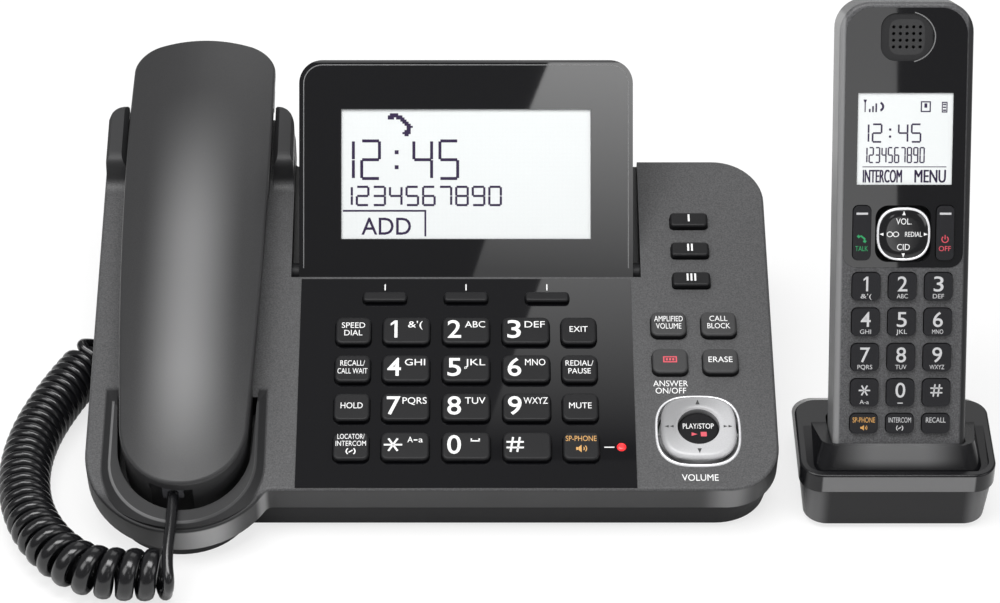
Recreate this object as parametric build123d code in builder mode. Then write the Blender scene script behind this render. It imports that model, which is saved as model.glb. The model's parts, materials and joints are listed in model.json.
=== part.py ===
from build123d import *
from math import cos, radians, sin, sqrt, tan
import os

os.makedirs("parts", exist_ok=True)

# ---------------------------------------------------------------- the whole set
BASE_WIDTH = 256.0
SET_DEPTH = 221.87
CHARGER_WIDTH = 72.0
CHARGER_GAP = 7.2

# ---------------------------------------------------------------- desk base
TOP_SLOPE = 14.0
FRONT_HEIGHT = 22.0
TOP_LENGTH = 154.4
CRADLE_LENGTH = 176.0
CRADLE_WIDTH = 73.6
NOSE_REACH = 18.5
NOSE_OFFSET = 36.0
CORNER_RADIUS = 19.5
CRADLE_CORNER = 11.0
JUNCTION_RADIUS = 3.5
STEP_RADIUS = 2.0
STEP_FLAT = 0.5
TOP_EDGE = 1.2
SKIRT_DEPTH = 11.6
TOP_THICKNESS = 3.0
COVER_WALL = 2.5
REVEAL = 1.2
CASE_WALL = 2.2
FOOT_HEIGHT = 2.0
FLOOR_LEFT_INSET = 11.0
FLOOR_RIGHT_INSET = 4.0
FLOOR_FRONT = 4.0
FLOOR_NOSE = 13.0

# ---------------------------------------------------------------- keypad
RUNNING = 0.2
PLATE_LEFT = -50.2
PLATE_RIGHT = 75.2
PLATE_FRONT = 0.9
PLATE_REAR = 96.3
PLATE_CORNER = 3.0
PLATE_SINK = 1.6
PLATE_PROUD = 0.4
WINDOW_MARGIN = 1.0
KEY_TRAVEL = 1.3
KEY_RISE = 2.5
KEY_EDGE = 1.0
KEY_CORNER = 2.8
SMALL_KEY_CORNER = 1.6
LOW_KEY_DEPTH = 8.4
KEY_FLANGE = 0.8
FLANGE_THICKNESS = 1.0
FLANGE_GAP = 0.15
PAD_CENTRE = 12.5
DIAL_PITCH = 22.5
ROW_PITCH = 17.55
DIAL_TOP_ROW = 70.65
DIAL_WIDTH = 18.1
DIAL_DEPTH = 12.5
SOFT_PITCH = 30.8
SOFT_ROW = 86.65
SOFT_WIDTH = 16.75
SOFT_DEPTH = 4.6
FUNCTION_OFFSET = 42.45
FUNCTION_WIDTH = 13.6
WING_CENTRE = 98.4
ONE_TOUCH_REAR = 123.7
ONE_TOUCH_PITCH = 14.3
ONE_TOUCH_WIDTH = 14.5
ONE_TOUCH_DEPTH = 6.75
OPTION_SPACING = 18.9
OPTION_REAR = 73.8
OPTION_PITCH = 17.2
OPTION_WIDTH = 13.4
OPTION_DEPTH = 11.3

# ---------------------------------------------------------------- navigator
NAVIGATOR_ROW = 26.0
TRIM_RADIUS = 15.8
TRIM_BORE = 14.0
TRIM_SLEEVE = 15.0
TRIM_SINK = 0.6
TRIM_PROUD = 0.9
NAVIGATOR_RADIUS = 13.6
NAVIGATOR_BORE = 7.8
NAVIGATOR_RISE = 3.2
NAVIGATOR_FLANGE = 14.6
NAVIGATOR_FLANGE_TOP = -2.4
NAVIGATOR_BOTTOM = -3.3
NAVIGATOR_EDGE = 1.6
TRUNNION_RADIUS = 0.8
TRUNNION_REACH = 16.0
TRUNNION_GAP = 0.1
NUB_RADIUS = 1.0
NUB_OFFSET = 10.7
NUB_GAP = 0.2
PLAY_RADIUS = 7.5
PLAY_RISE = 1.6
PLAY_REACH = 6.0
PLAY_EDGE = 0.8

# ---------------------------------------------------------------- circuit board
BOARD_THICKNESS = 1.6
BOARD_LEFT = -47.0
BOARD_FRONT = 4.0
BOARD_REAR = 93.0
BOARD_STEP = 76.0
BOARD_WING_FRONT = 20.0
BOARD_RIGHT = 113.5
BOARD_WING_LEFT = 84.0
BOARD_WING_REAR = 131.0
POST_RADIUS = 1.8
POST_INSET = 2.2
POST_FRONT_ROW = 26.0
POST_REAR_ROW = 87.0
POST_WING_ROW = 127.0

# ---------------------------------------------------------------- screws, feet, sockets
BOSS_RADIUS = 3.5
SCREW_RADIUS = 1.5
SCREW_GRIP = 10.0
HEAD_RADIUS = 3.0
HEAD_HEIGHT = 1.2
BASE_SCREWS = [(82.0, 12.5), (112.0, 140.0), (-108.0, 75.0), (-100.0, 152.0), (-54.0, 11.0)]
BASE_FEET = [(-92.0, 0.0), (104.0, 20.0), (-102.0, 130.0), (108.0, 120.0)]
FOOT_RADIUS = 6.0
CHARGER_FOOT_RADIUS = 3.5
SOCKET_HEIGHT = 22.0
LINE_X = 30.0
POWER_X = 60.0
LINE_WIDTH = 9.85
LINE_OPENING = 6.85
LINE_BODY_WIDTH = 16.0
LINE_BODY_HEIGHT = 14.0
SOCKET_BODY_DEPTH = 11.0
SOCKET_DEPTH = 10.0
POWER_BODY = 12.0
POWER_BORE = 3.0
POWER_PIN = 0.9
SPEAKER_X = 20.0
SPEAKER_Y = 110.0
SPEAKER_RADIUS = 28.0
SPEAKER_RIM = 3.0
SPEAKER_BASKET = 24.0
SPEAKER_MAGNET = 14.0
SPEAKER_BASKET_HEIGHT = 9.0
SPEAKER_HEIGHT = 20.0
SLOT_LENGTH = 36.0
SLOT_WIDTH = 2.0
SLOT_PITCH = 6.0
SLOT_COUNT = 5

# ---------------------------------------------------------------- display
DISPLAY_AXIS_V = 104.5
DISPLAY_AXIS_H = -7.0
DISPLAY_TILT = 50.6
DISPLAY_WIDTH = 127.9
DISPLAY_HEIGHT = 81.8
DISPLAY_BARREL = 6.0
DISPLAY_FACE = 5.5
DISPLAY_SEAM = 1.0
DISPLAY_BACK = 6.5
DISPLAY_BACK_RADIUS = 5.0
DISPLAY_CORNER = 9.0
DISPLAY_WALL = 2.2
BEZEL_INSET = 1.0
WINDOW_WIDTH = 95.8
WINDOW_HEIGHT = 49.9
WINDOW_FOOT = 13.1
GLASS_SINK = 1.1
GLASS_GAP = 0.2
MODULE_WIDTH = 104.0
MODULE_HEIGHT = 58.0
MODULE_DEPTH = 3.5
MODULE_POST = 6.0
PIN_RADIUS = 2.5
PIN_CLEARANCE = 0.05
PIN_LENGTH = 2.3
COLLAR_RADIUS = 4.0
COLLAR_GAP = 0.1
RECESS_SIDE_GAP = 2.85
RECESS_FRONT = 97.5
RECESS_DEPTH = 15.0
RECESS_REAR_DEPTH = 3.7

# ---------------------------------------------------------------- corded handset and cradle
CRADLE_X = -91.0
HANDSET_V = -6.5
HANDSET_H = 22.0
HANDSET_LENGTH = 215.5
MOUTH_HALF_WIDTH = 23.6
MOUTH_LENGTH = 27.0
MOUTH_ARC_TRIM = 6.0
WAIST_HALF_WIDTH = 27.0
WAIST_PLACE = 106.0
EAR_HALF_WIDTH = 27.8
EAR_SHOULDER = 211.0
EAR_CORNER = 13.0
CROWN_RADIUS = 75.0
CROWN_REACH = 40.0
ARCH_RADIUS = 560.0
ARCH_APEX = 96.5
ARCH_ANGLE = 16.0
ARCH_MARGIN = 5.0
CROWN_EDGE = 1.4
OUTER_DEPTH = 8.5
INNER_DEPTH = 14.5
HANDSET_WALL = 2.2
INNER_INSET = 0.6
MOUTH_CUP_END = 40.0
MOUTH_CUP_DEPTH = 32.8
MOUTH_RAMP = 10.0
EAR_CUP_LENGTH = 70.0
EAR_CUP_DEPTH = 21.2
EAR_RAMP = 10.0
LIP_LENGTH = 31.0
LIP_DEPTH = 28.0
LIP_RAMP = 6.0
CUP_EDGE = 2.0
RECEIVER_RADIUS = 15.0
RECEIVER_HEIGHT = 4.8
SOUND_RADIUS = 0.9
SOUND_RING = 6.0
MOUTH_SOUND_RING = 3.0
MOUTH_SOUND_SHARE = 0.62
SOUND_COUNT = 6
SEAT_GAP = 0.3
WELL_GAP = 1.2
WELL_SHIFT = 3.0
WELL_WALL = 2.0
WELL_END = 51.0
RIM_HEIGHT = 3.0
RIM_FOOT_RADIUS = 30.4
RIM_CREST_RADIUS = 26.6
RIM_CENTRE_X = -91.6
RIM_CENTRE_V = 11.0
RIM_FOOT_END = 46.0
RIM_CREST_END = 36.0
EAR_THICKNESS = 7.6
EAR_INNER_GAP = 57.4
EAR_FOOT_V = 139.4
EAR_RAMP_V = 147.0
EAR_RAMP_H = 8.6
EAR_TOP_V = 151.5
EAR_TOP_H = 9.8
EAR_ROUND = 4.0
EAR_BEVEL = 2.5
EAR_INSET = 0.3

# ---------------------------------------------------------------- hook switch
HOOK_X = -91.0
HOOK_V = 145.0
HOOK_TRAVEL = 4.0
HOOK_WIDTH = 9.6
HOOK_LENGTH = 5.6
HOOK_TOP = 0.5
HOOK_EDGE = 0.6
HOOK_FLANGE = 1.7
HOOK_FLANGE_THICKNESS = 1.5
HOOK_STOP_GAP = 0.15
HOOK_GUIDE_WALL = 1.5
HOOK_GUIDE_DEPTH = 9.5
HOOK_POST_WIDTH = 8.0
HOOK_POST_LENGTH = 5.0
HOOK_POST_HEIGHT = 60.0

# ---------------------------------------------------------------- handset cord
WIRE_RADIUS = 1.7
COIL_RADIUS = 9.7
COIL_HEIGHT = 10.0
CORNER_SHARE = 0.45
PLUG_WIDTH = 7.6
PLUG_HEIGHT = 6.1
PLUG_LENGTH = 11.5
PLUG_GAP = 0.15
PLUG_START = 1.5
PLUG_DEPTH = 16.5
PLUG_OFFSET = -3.0
JACK_WALL = 2.0
JACK_SLOT_WIDTH = 16.0
JACK_SLOT_OFFSET = -3.7
JACK_SLOT_TOP = 12.5
JACK_SLOT_DEPTH = 4.0
JACK_LEFT = -8.0
JACK_RIGHT = 4.8
BASE_PLUG_X = -113.0
BASE_PLUG_Z = 10.0
BASE_PLUG_Y = 117.0
CORD_RECESS_RIGHT = -107.0
CORD_RECESS_FRONT = 96.0
CORD_RECESS_REAR = 120.0
CORD_RECESS_BOTTOM = 4.5
CORD_RECESS_TOP = 20.0

# ---------------------------------------------------------------- charger
CHARGER_TOP = 26.0
CHARGER_SEAM = 18.0
CHARGER_FRONT = 3.2
CHARGER_TOP_REAR = 45.7
CHARGER_SEAM_REAR = 56.0
CHARGER_FLOOR_FRONT = 3.6
CHARGER_FLOOR_REAR = 66.0
CHARGER_FLOOR_INSET = 2.5
CHARGER_CORNER = 8.5
CHARGER_FLOOR_CORNER = 8.5
CHARGER_WALL = 2.2
CHARGER_DECK = 4.2
CHARGER_REVEAL = 0.8
CHARGER_EDGE = 0.8
MOAT_DEPTH = 2.0
MOAT_WALL = 2.5
MOAT_REAR = 44.3
MOAT_SLOPE = 4.5
CUP_TOP = 33.5
CUP_FOOT_HALF = 31.0
CUP_TOP_HALF = 27.75
CUP_FOOT_FRONT = 5.9
CUP_TOP_FRONT = 11.2
CUP_CORNER = 6.0
CUP_FALL_START = 12.5
CUP_FALL = 20.0
POCKET_GAP = 0.5
POCKET_WALL = 2.0
CHARGER_SCREW_X = 20.0
CHARGER_SCREW_Y = 44.0
CHARGER_BOSS_RADIUS = 3.0
CHARGER_FOOT_X = 24.5
CHARGER_FOOT_FRONT = 10.0
CHARGER_FOOT_REAR = 58.0
CHARGER_INLET_HEIGHT = 9.5
CHARGER_INLET_DEPTH = 9.0
CHARGER_INLET_BODY = 10.0
CHARGER_INLET_BORE = 2.8

# ---------------------------------------------------------------- cordless handset
CORDLESS_LEAN = 30.0
CORDLESS_Y = 8.0
CORDLESS_Z = 24.3
CORDLESS_WIDTH = 48.4
CORDLESS_LENGTH = 172.0
CORDLESS_DEPTH = 25.0
CORDLESS_SEAM = 9.5
CORDLESS_TOP_CORNER = 11.0
CORDLESS_FOOT_CORNER = 6.0
CORDLESS_WALL = 2.2
CORDLESS_FRONT_EDGE = 1.8
CORDLESS_BACK_EDGE = 5.0
PANEL_WIDTH = 43.6
PANEL_FOOT = 75.5
PANEL_TOP = 170.0
PANEL_TOP_CORNER = 9.5
PANEL_FOOT_CORNER = 5.0
PANEL_SINK = 1.0
PANEL_PROUD = 0.2
SCREEN_WIDTH = 34.4
SCREEN_HEIGHT = 33.4
SCREEN_CENTRE = 122.5
SCREEN_SINK = 0.3
SCREEN_BACK = 4.5
SCREEN_FLANGE = 1.0
EARPIECE_CENTRE = 159.4
EARPIECE_WIDTH = 18.9
EARPIECE_HEIGHT = 17.3
EARPIECE_CORNER = 5.5
EARPIECE_SINK = 0.5
EARPIECE_HOLE = 0.6
EARPIECE_PITCH = 2.4
EARPIECE_COLUMNS = 5
EARPIECE_ROWS = 4
MAT_THICKNESS = 1.0
MAT_RISE = 1.2
MAT_MARGIN = 2.0
MAT_GAP = 0.25
MAT_PITCH = 13.15
MAT_KEY = 10.1
MAT_ROW_PITCH = 13.1
MAT_FIRST_ROW = 68.6
MAT_FOOT_ROW = 17.8
MAT_FOOT_KEY = 7.3
MAT_CORNER = 2.0
CALL_KEY_OFFSET = 15.1
CALL_KEY_ROW = 88.3
CALL_KEY_WIDTH = 6.4
CALL_KEY_HEIGHT = 19.9
ROCKER_ROW = 87.9
ROCKER_WIDTH = 19.9
ROCKER_HEIGHT = 20.3
ROCKER_CORNER = 4.5
ROCKER_RISE = 1.5
ROCKER_EDGE = 0.8
ROCKER_FLANGE = 0.8

# ---------------------------------------------------------------- derived places
SLOPE_COS = cos(radians(TOP_SLOPE))
SLOPE_SIN = sin(radians(TOP_SLOPE))
SET_WIDTH = BASE_WIDTH + CHARGER_GAP + CHARGER_WIDTH
BASE_X = (BASE_WIDTH - SET_WIDTH) / 2
BASE_Y = NOSE_REACH * SLOPE_COS - SET_DEPTH / 2
CHARGER_X = (SET_WIDTH - CHARGER_WIDTH) / 2
BASE_LEFT = -BASE_WIDTH / 2
BASE_RIGHT = BASE_WIDTH / 2
NOSE_X = BASE_LEFT + NOSE_OFFSET
STEP_X = BASE_LEFT + CRADLE_WIDTH
CASE_FLOOR = FOOT_HEIGHT + CASE_WALL
REAR_Y = (TOP_LENGTH - REVEAL) * SLOPE_COS + SKIRT_DEPTH * SLOPE_SIN
CRADLE_REAR_Y = (CRADLE_LENGTH - REVEAL) * SLOPE_COS + SKIRT_DEPTH * SLOPE_SIN
KEY_TOP_OF_FLANGE = -PLATE_SINK - FLANGE_GAP
KEY_BOTTOM = KEY_TOP_OF_FLANGE - FLANGE_THICKNESS
BOARD_TOP = KEY_BOTTOM - KEY_TRAVEL - FLANGE_GAP
RECESS_CENTRE = PAD_CENTRE
RECESS_LEFT = RECESS_CENTRE - DISPLAY_WIDTH / 2 - RECESS_SIDE_GAP
RECESS_RIGHT = RECESS_CENTRE + DISPLAY_WIDTH / 2 + RECESS_SIDE_GAP
REACH = 4 * BASE_WIDTH

TOP = Plane(origin=(BASE_X, BASE_Y, FRONT_HEIGHT), x_dir=(1, 0, 0), z_dir=(0, -SLOPE_SIN, SLOPE_COS))
SIDE = Plane(origin=TOP.origin, x_dir=(0, SLOPE_COS, SLOPE_SIN), z_dir=(1, 0, 0))
SECTION = Plane(origin=TOP.origin, x_dir=(1, 0, 0), z_dir=(0, -SLOPE_COS, -SLOPE_SIN))
DESK = Plane(origin=(BASE_X, BASE_Y, 0))
TOP_AXIS = Axis(TOP.origin, TOP.z_dir)
HANDSET = Plane(
    origin=TOP.from_local_coords((CRADLE_X, HANDSET_V, HANDSET_H)),
    x_dir=(1, 0, 0),
    z_dir=TOP.z_dir,
)
HANDSET_AXIS = Axis(HANDSET.origin, HANDSET.z_dir)
HANDSET_SIDE = Plane(origin=HANDSET.origin, x_dir=HANDSET.y_dir, z_dir=(1, 0, 0))
WELL = Plane(origin=HANDSET.origin - HANDSET.y_dir * WELL_SHIFT, x_dir=(1, 0, 0), z_dir=TOP.z_dir)
ARCH_CENTRE = HANDSET.from_local_coords((0, ARCH_APEX, -ARCH_RADIUS))
NAVIGATOR_SIDE = Plane(
    origin=TOP.from_local_coords((WING_CENTRE, NAVIGATOR_ROW, (NAVIGATOR_FLANGE_TOP + NAVIGATOR_BOTTOM) / 2)),
    x_dir=TOP.y_dir,
    z_dir=(1, 0, 0),
)
DISPLAY = Plane(
    origin=TOP.from_local_coords((RECESS_CENTRE, DISPLAY_AXIS_V, DISPLAY_AXIS_H)),
    x_dir=(1, 0, 0),
    z_dir=(0, -sin(radians(DISPLAY_TILT)), cos(radians(DISPLAY_TILT))),
)
DISPLAY_SIDE = Plane(origin=DISPLAY.origin, x_dir=DISPLAY.y_dir, z_dir=(1, 0, 0))
CHARGER = Plane(origin=(CHARGER_X, BASE_Y, 0))
CORDLESS = Plane(
    origin=(CHARGER_X, BASE_Y + CORDLESS_Y, CORDLESS_Z),
    x_dir=(1, 0, 0),
    z_dir=(0, -cos(radians(CORDLESS_LEAN)), sin(radians(CORDLESS_LEAN))),
)
CORDLESS_AXIS = Axis(CORDLESS.origin, CORDLESS.z_dir)
CORDLESS_END = Plane(
    origin=CORDLESS.from_local_coords((0, 0, -CORDLESS_DEPTH / 2)),
    x_dir=(1, 0, 0),
    z_dir=(0, sin(radians(CORDLESS_LEAN)), cos(radians(CORDLESS_LEAN))),
)


def save(piece, node):
    """Label a finished piece and write its file."""
    piece.part.label = node
    export_step(piece.part, "parts/" + node + ".step")


def desk(height):
    """Horizontal plane in the base's coordinates."""
    return DESK.offset(height)


def box_area(left, right, front, rear, corner=0.0):
    """Rectangle given by its four sides, with rounded corners if asked."""
    with Locations(((left + right) / 2, (front + rear) / 2)):
        if corner > 0:
            RectangleRounded(right - left, rear - front, corner)
        else:
            Rectangle(right - left, rear - front)


def base_outline(left, right, front, nose, rear, cradle_rear, inset):
    """Plan of the base: rounded nose below the handset, longer cradle side at the rear."""
    left = left + inset
    right = right - inset
    front = front + inset
    nose = nose + inset
    rear = rear - inset
    cradle_rear = cradle_rear - inset
    step = STEP_X - inset
    radius = NOSE_X - left
    centre = nose + radius
    join = NOSE_X + sqrt(radius**2 - (centre - front) ** 2)
    with BuildLine() as outline:
        ThreePointArc((left, centre), (NOSE_X, nose), (join, front))
        Polyline(
            (join, front),
            (right, front),
            (right, rear),
            (step, rear),
            (step, cradle_rear),
            (left, cradle_rear),
            (left, centre),
        )
    make_face(outline.edges())
    fillet(vertices().sort_by_distance((right, front, 0))[0], CORNER_RADIUS - inset)
    fillet(vertices().sort_by_distance((right, rear, 0))[0], CORNER_RADIUS - inset)
    fillet(vertices().sort_by_distance((left, cradle_rear, 0))[0], CRADLE_CORNER - inset)
    step_round = min(CRADLE_CORNER - inset, cradle_rear - rear - STEP_RADIUS - STEP_FLAT)
    fillet(vertices().sort_by_distance((step, cradle_rear, 0))[0], step_round)
    fillet(vertices().sort_by_distance((join, front, 0))[0], JUNCTION_RADIUS + inset)
    fillet(vertices().sort_by_distance((step, rear, 0))[0], STEP_RADIUS)


def cover_outline(inset=0.0):
    """Outline of the top cover on its sloping plane."""
    base_outline(BASE_LEFT, BASE_RIGHT, 0, -NOSE_REACH, TOP_LENGTH, CRADLE_LENGTH, inset)


def floor_outline(inset=0.0):
    """Outline of the bottom case where it meets the floor plate."""
    base_outline(
        BASE_LEFT + FLOOR_LEFT_INSET,
        BASE_RIGHT - FLOOR_RIGHT_INSET,
        FLOOR_FRONT,
        -FLOOR_NOSE,
        REAR_Y,
        CRADLE_REAR_Y,
        inset,
    )


def handset_outline(grow=0.0):
    """Plan of the corded handset: narrow rounded mouth end, wide ear end."""
    half = MOUTH_HALF_WIDTH + grow
    length = MOUTH_LENGTH + grow
    waist = WAIST_HALF_WIDTH + grow
    ear = EAR_HALF_WIDTH + grow
    with BuildLine() as outline:
        mouth = EllipticalCenterArc(
            (0, MOUTH_LENGTH),
            half,
            length,
            start_angle=180 + MOUTH_ARC_TRIM,
            arc_size=180 - 2 * MOUTH_ARC_TRIM,
        )
        left_end = mouth @ 0
        right_end = mouth @ 1
        if left_end.X > right_end.X:
            left_end, right_end = right_end, left_end
        ThreePointArc(right_end, (waist, WAIST_PLACE), (ear, EAR_SHOULDER + grow))
        ThreePointArc((ear, EAR_SHOULDER + grow), (0, HANDSET_LENGTH + grow), (-ear, EAR_SHOULDER + grow))
        ThreePointArc((-ear, EAR_SHOULDER + grow), (-waist, WAIST_PLACE), left_end)
    make_face(outline.edges())
    for side in (-ear, ear):
        fillet(vertices().sort_by_distance((side, EAR_SHOULDER + grow, 0))[0], EAR_CORNER + grow)


# ---------------------------------------------------------------- key layout
PLATE_KEYS = []
for index, place in enumerate(("left", "middle", "right")):
    PLATE_KEYS.append(
        ("softkey_" + place, PAD_CENTRE + (index - 1) * SOFT_PITCH, SOFT_ROW, SOFT_WIDTH, SOFT_DEPTH)
    )
for index, digit in enumerate(("1", "2", "3", "4", "5", "6", "7", "8", "9", "star", "0", "hash")):
    PLATE_KEYS.append(
        (
            "dial_key_" + digit,
            PAD_CENTRE + (index % 3 - 1) * DIAL_PITCH,
            DIAL_TOP_ROW - (index // 3) * ROW_PITCH,
            DIAL_WIDTH,
            DIAL_DEPTH,
        )
    )
for index, use in enumerate(("speed_dial", "recall", "hold", "intercom")):
    row = DIAL_TOP_ROW - index * ROW_PITCH
    PLATE_KEYS.append((use + "_key", PAD_CENTRE - FUNCTION_OFFSET, row, FUNCTION_WIDTH, DIAL_DEPTH))
for index, use in enumerate(("exit", "redial", "mute", "speakerphone")):
    row = DIAL_TOP_ROW - index * ROW_PITCH
    PLATE_KEYS.append((use + "_key", PAD_CENTRE + FUNCTION_OFFSET, row, FUNCTION_WIDTH, DIAL_DEPTH))

WING_KEYS = []
for index in range(3):
    row = ONE_TOUCH_REAR - index * ONE_TOUCH_PITCH
    name = "one_touch_key_" + str(index + 1)
    WING_KEYS.append((name, WING_CENTRE, row, ONE_TOUCH_WIDTH, ONE_TOUCH_DEPTH))
for index, use in enumerate(("amplifier", "call_block", "answer", "erase")):
    column = WING_CENTRE + (index % 2 - 0.5) * OPTION_SPACING
    row = OPTION_REAR - (index // 2) * OPTION_PITCH
    WING_KEYS.append((use + "_key", column, row, OPTION_WIDTH, OPTION_DEPTH))


def key_corner(depth):
    """Low keys have the smaller corner radius."""
    return KEY_CORNER if depth > LOW_KEY_DEPTH else SMALL_KEY_CORNER


def key_holes(keys, grow):
    """Openings for a group of keys, wider than the keys all round."""
    for name, column, row, width, depth in keys:
        with Locations((column, row)):
            RectangleRounded(width + 2 * grow, depth + 2 * grow, key_corner(depth) + grow)


def key_field(keys):
    """Rectangle around a group of keys with their flanges."""
    reach = KEY_FLANGE + WINDOW_MARGIN
    left = min(column - width / 2 for name, column, row, width, depth in keys) - reach
    right = max(column + width / 2 for name, column, row, width, depth in keys) + reach
    front = min(row - depth / 2 for name, column, row, width, depth in keys) - reach
    rear = max(row + depth / 2 for name, column, row, width, depth in keys) + reach
    box_area(left, right, front, rear, KEY_CORNER)


# ---------------------------------------------------------------- rim, ears and well of the cradle
with BuildPart() as cradle_rim:
    for radius, end, height in (
        (RIM_FOOT_RADIUS, RIM_FOOT_END, -TOP_EDGE),
        (RIM_FOOT_RADIUS, RIM_FOOT_END, 0),
        (RIM_CREST_RADIUS, RIM_CREST_END, RIM_HEIGHT),
    ):
        with BuildSketch(TOP.offset(height)):
            with Locations((RIM_CENTRE_X, RIM_CENTRE_V)):
                Circle(radius)
            box_area(RIM_CENTRE_X - radius, RIM_CENTRE_X + radius, RIM_CENTRE_V, end)
    loft(ruled=True)
    with BuildSketch(TOP.offset(-TOP_EDGE)):
        cover_outline(TOP_EDGE)
    extrude(amount=TOP_EDGE + RIM_HEIGHT, mode=Mode.INTERSECT)
    with BuildSketch(WELL):
        handset_outline(WELL_GAP)
    extrude(amount=HANDSET_LENGTH, both=True, mode=Mode.SUBTRACT)

with BuildPart() as well_tub:
    with BuildSketch(WELL):
        handset_outline(WELL_GAP + WELL_WALL)
        with Locations((0, WELL_END + WELL_WALL + REACH / 2)):
            Rectangle(REACH, REACH, mode=Mode.SUBTRACT)
    extrude(amount=-(MOUTH_CUP_DEPTH + SEAT_GAP + WELL_WALL))
    split(bisect_by=TOP.offset(-TOP_THICKNESS / 2), keep=Keep.BOTTOM)


def cradle_ear(inner, outward):
    """One low ridge beside the handset's ear end, bevelled on its inner side."""
    outer = inner + outward * EAR_THICKNESS
    with BuildPart() as ear:
        with BuildSketch(SIDE.offset(min(inner, outer))):
            with BuildLine():
                front = Spline(
                    (EAR_FOOT_V, 0),
                    (EAR_RAMP_V, EAR_RAMP_H),
                    (EAR_TOP_V, EAR_TOP_H),
                    tangents=((1, 0), (1, 0)),
                )
                top = Line(front @ 1, (CRADLE_LENGTH - EAR_ROUND, EAR_TOP_H))
                rear = TangentArc(top @ 1, (CRADLE_LENGTH, EAR_TOP_H - EAR_ROUND), tangent=(1, 0))
                Polyline(
                    rear @ 1,
                    (CRADLE_LENGTH, -TOP_EDGE),
                    (EAR_FOOT_V, -TOP_EDGE),
                    (EAR_FOOT_V, 0),
                )
            make_face()
        extrude(amount=EAR_THICKNESS)
        with BuildSketch(SECTION):
            with BuildLine():
                Polyline(
                    (inner, -TOP_EDGE),
                    (inner, EAR_TOP_H - EAR_BEVEL),
                    (inner + outward * EAR_BEVEL, EAR_TOP_H + TOP_EDGE),
                    (outer - outward * EAR_BEVEL, EAR_TOP_H + TOP_EDGE),
                    (outer, EAR_TOP_H - TOP_EDGE),
                    (outer, -TOP_EDGE),
                    close=True,
                )
            make_face()
        extrude(amount=-REACH, mode=Mode.INTERSECT)
        with BuildSketch(TOP.offset(-TOP_EDGE)):
            cover_outline(EAR_INSET)
        extrude(amount=REACH, mode=Mode.INTERSECT)
    return ear.part


left_ear = cradle_ear(CRADLE_X - EAR_INNER_GAP / 2, -1)
right_ear = cradle_ear(CRADLE_X + EAR_INNER_GAP / 2, 1)


def under_cover(y):
    """Height of the cover's underside above the desk at depth y."""
    return FRONT_HEIGHT + y * SLOPE_SIN / SLOPE_COS - TOP_THICKNESS / SLOPE_COS


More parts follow.
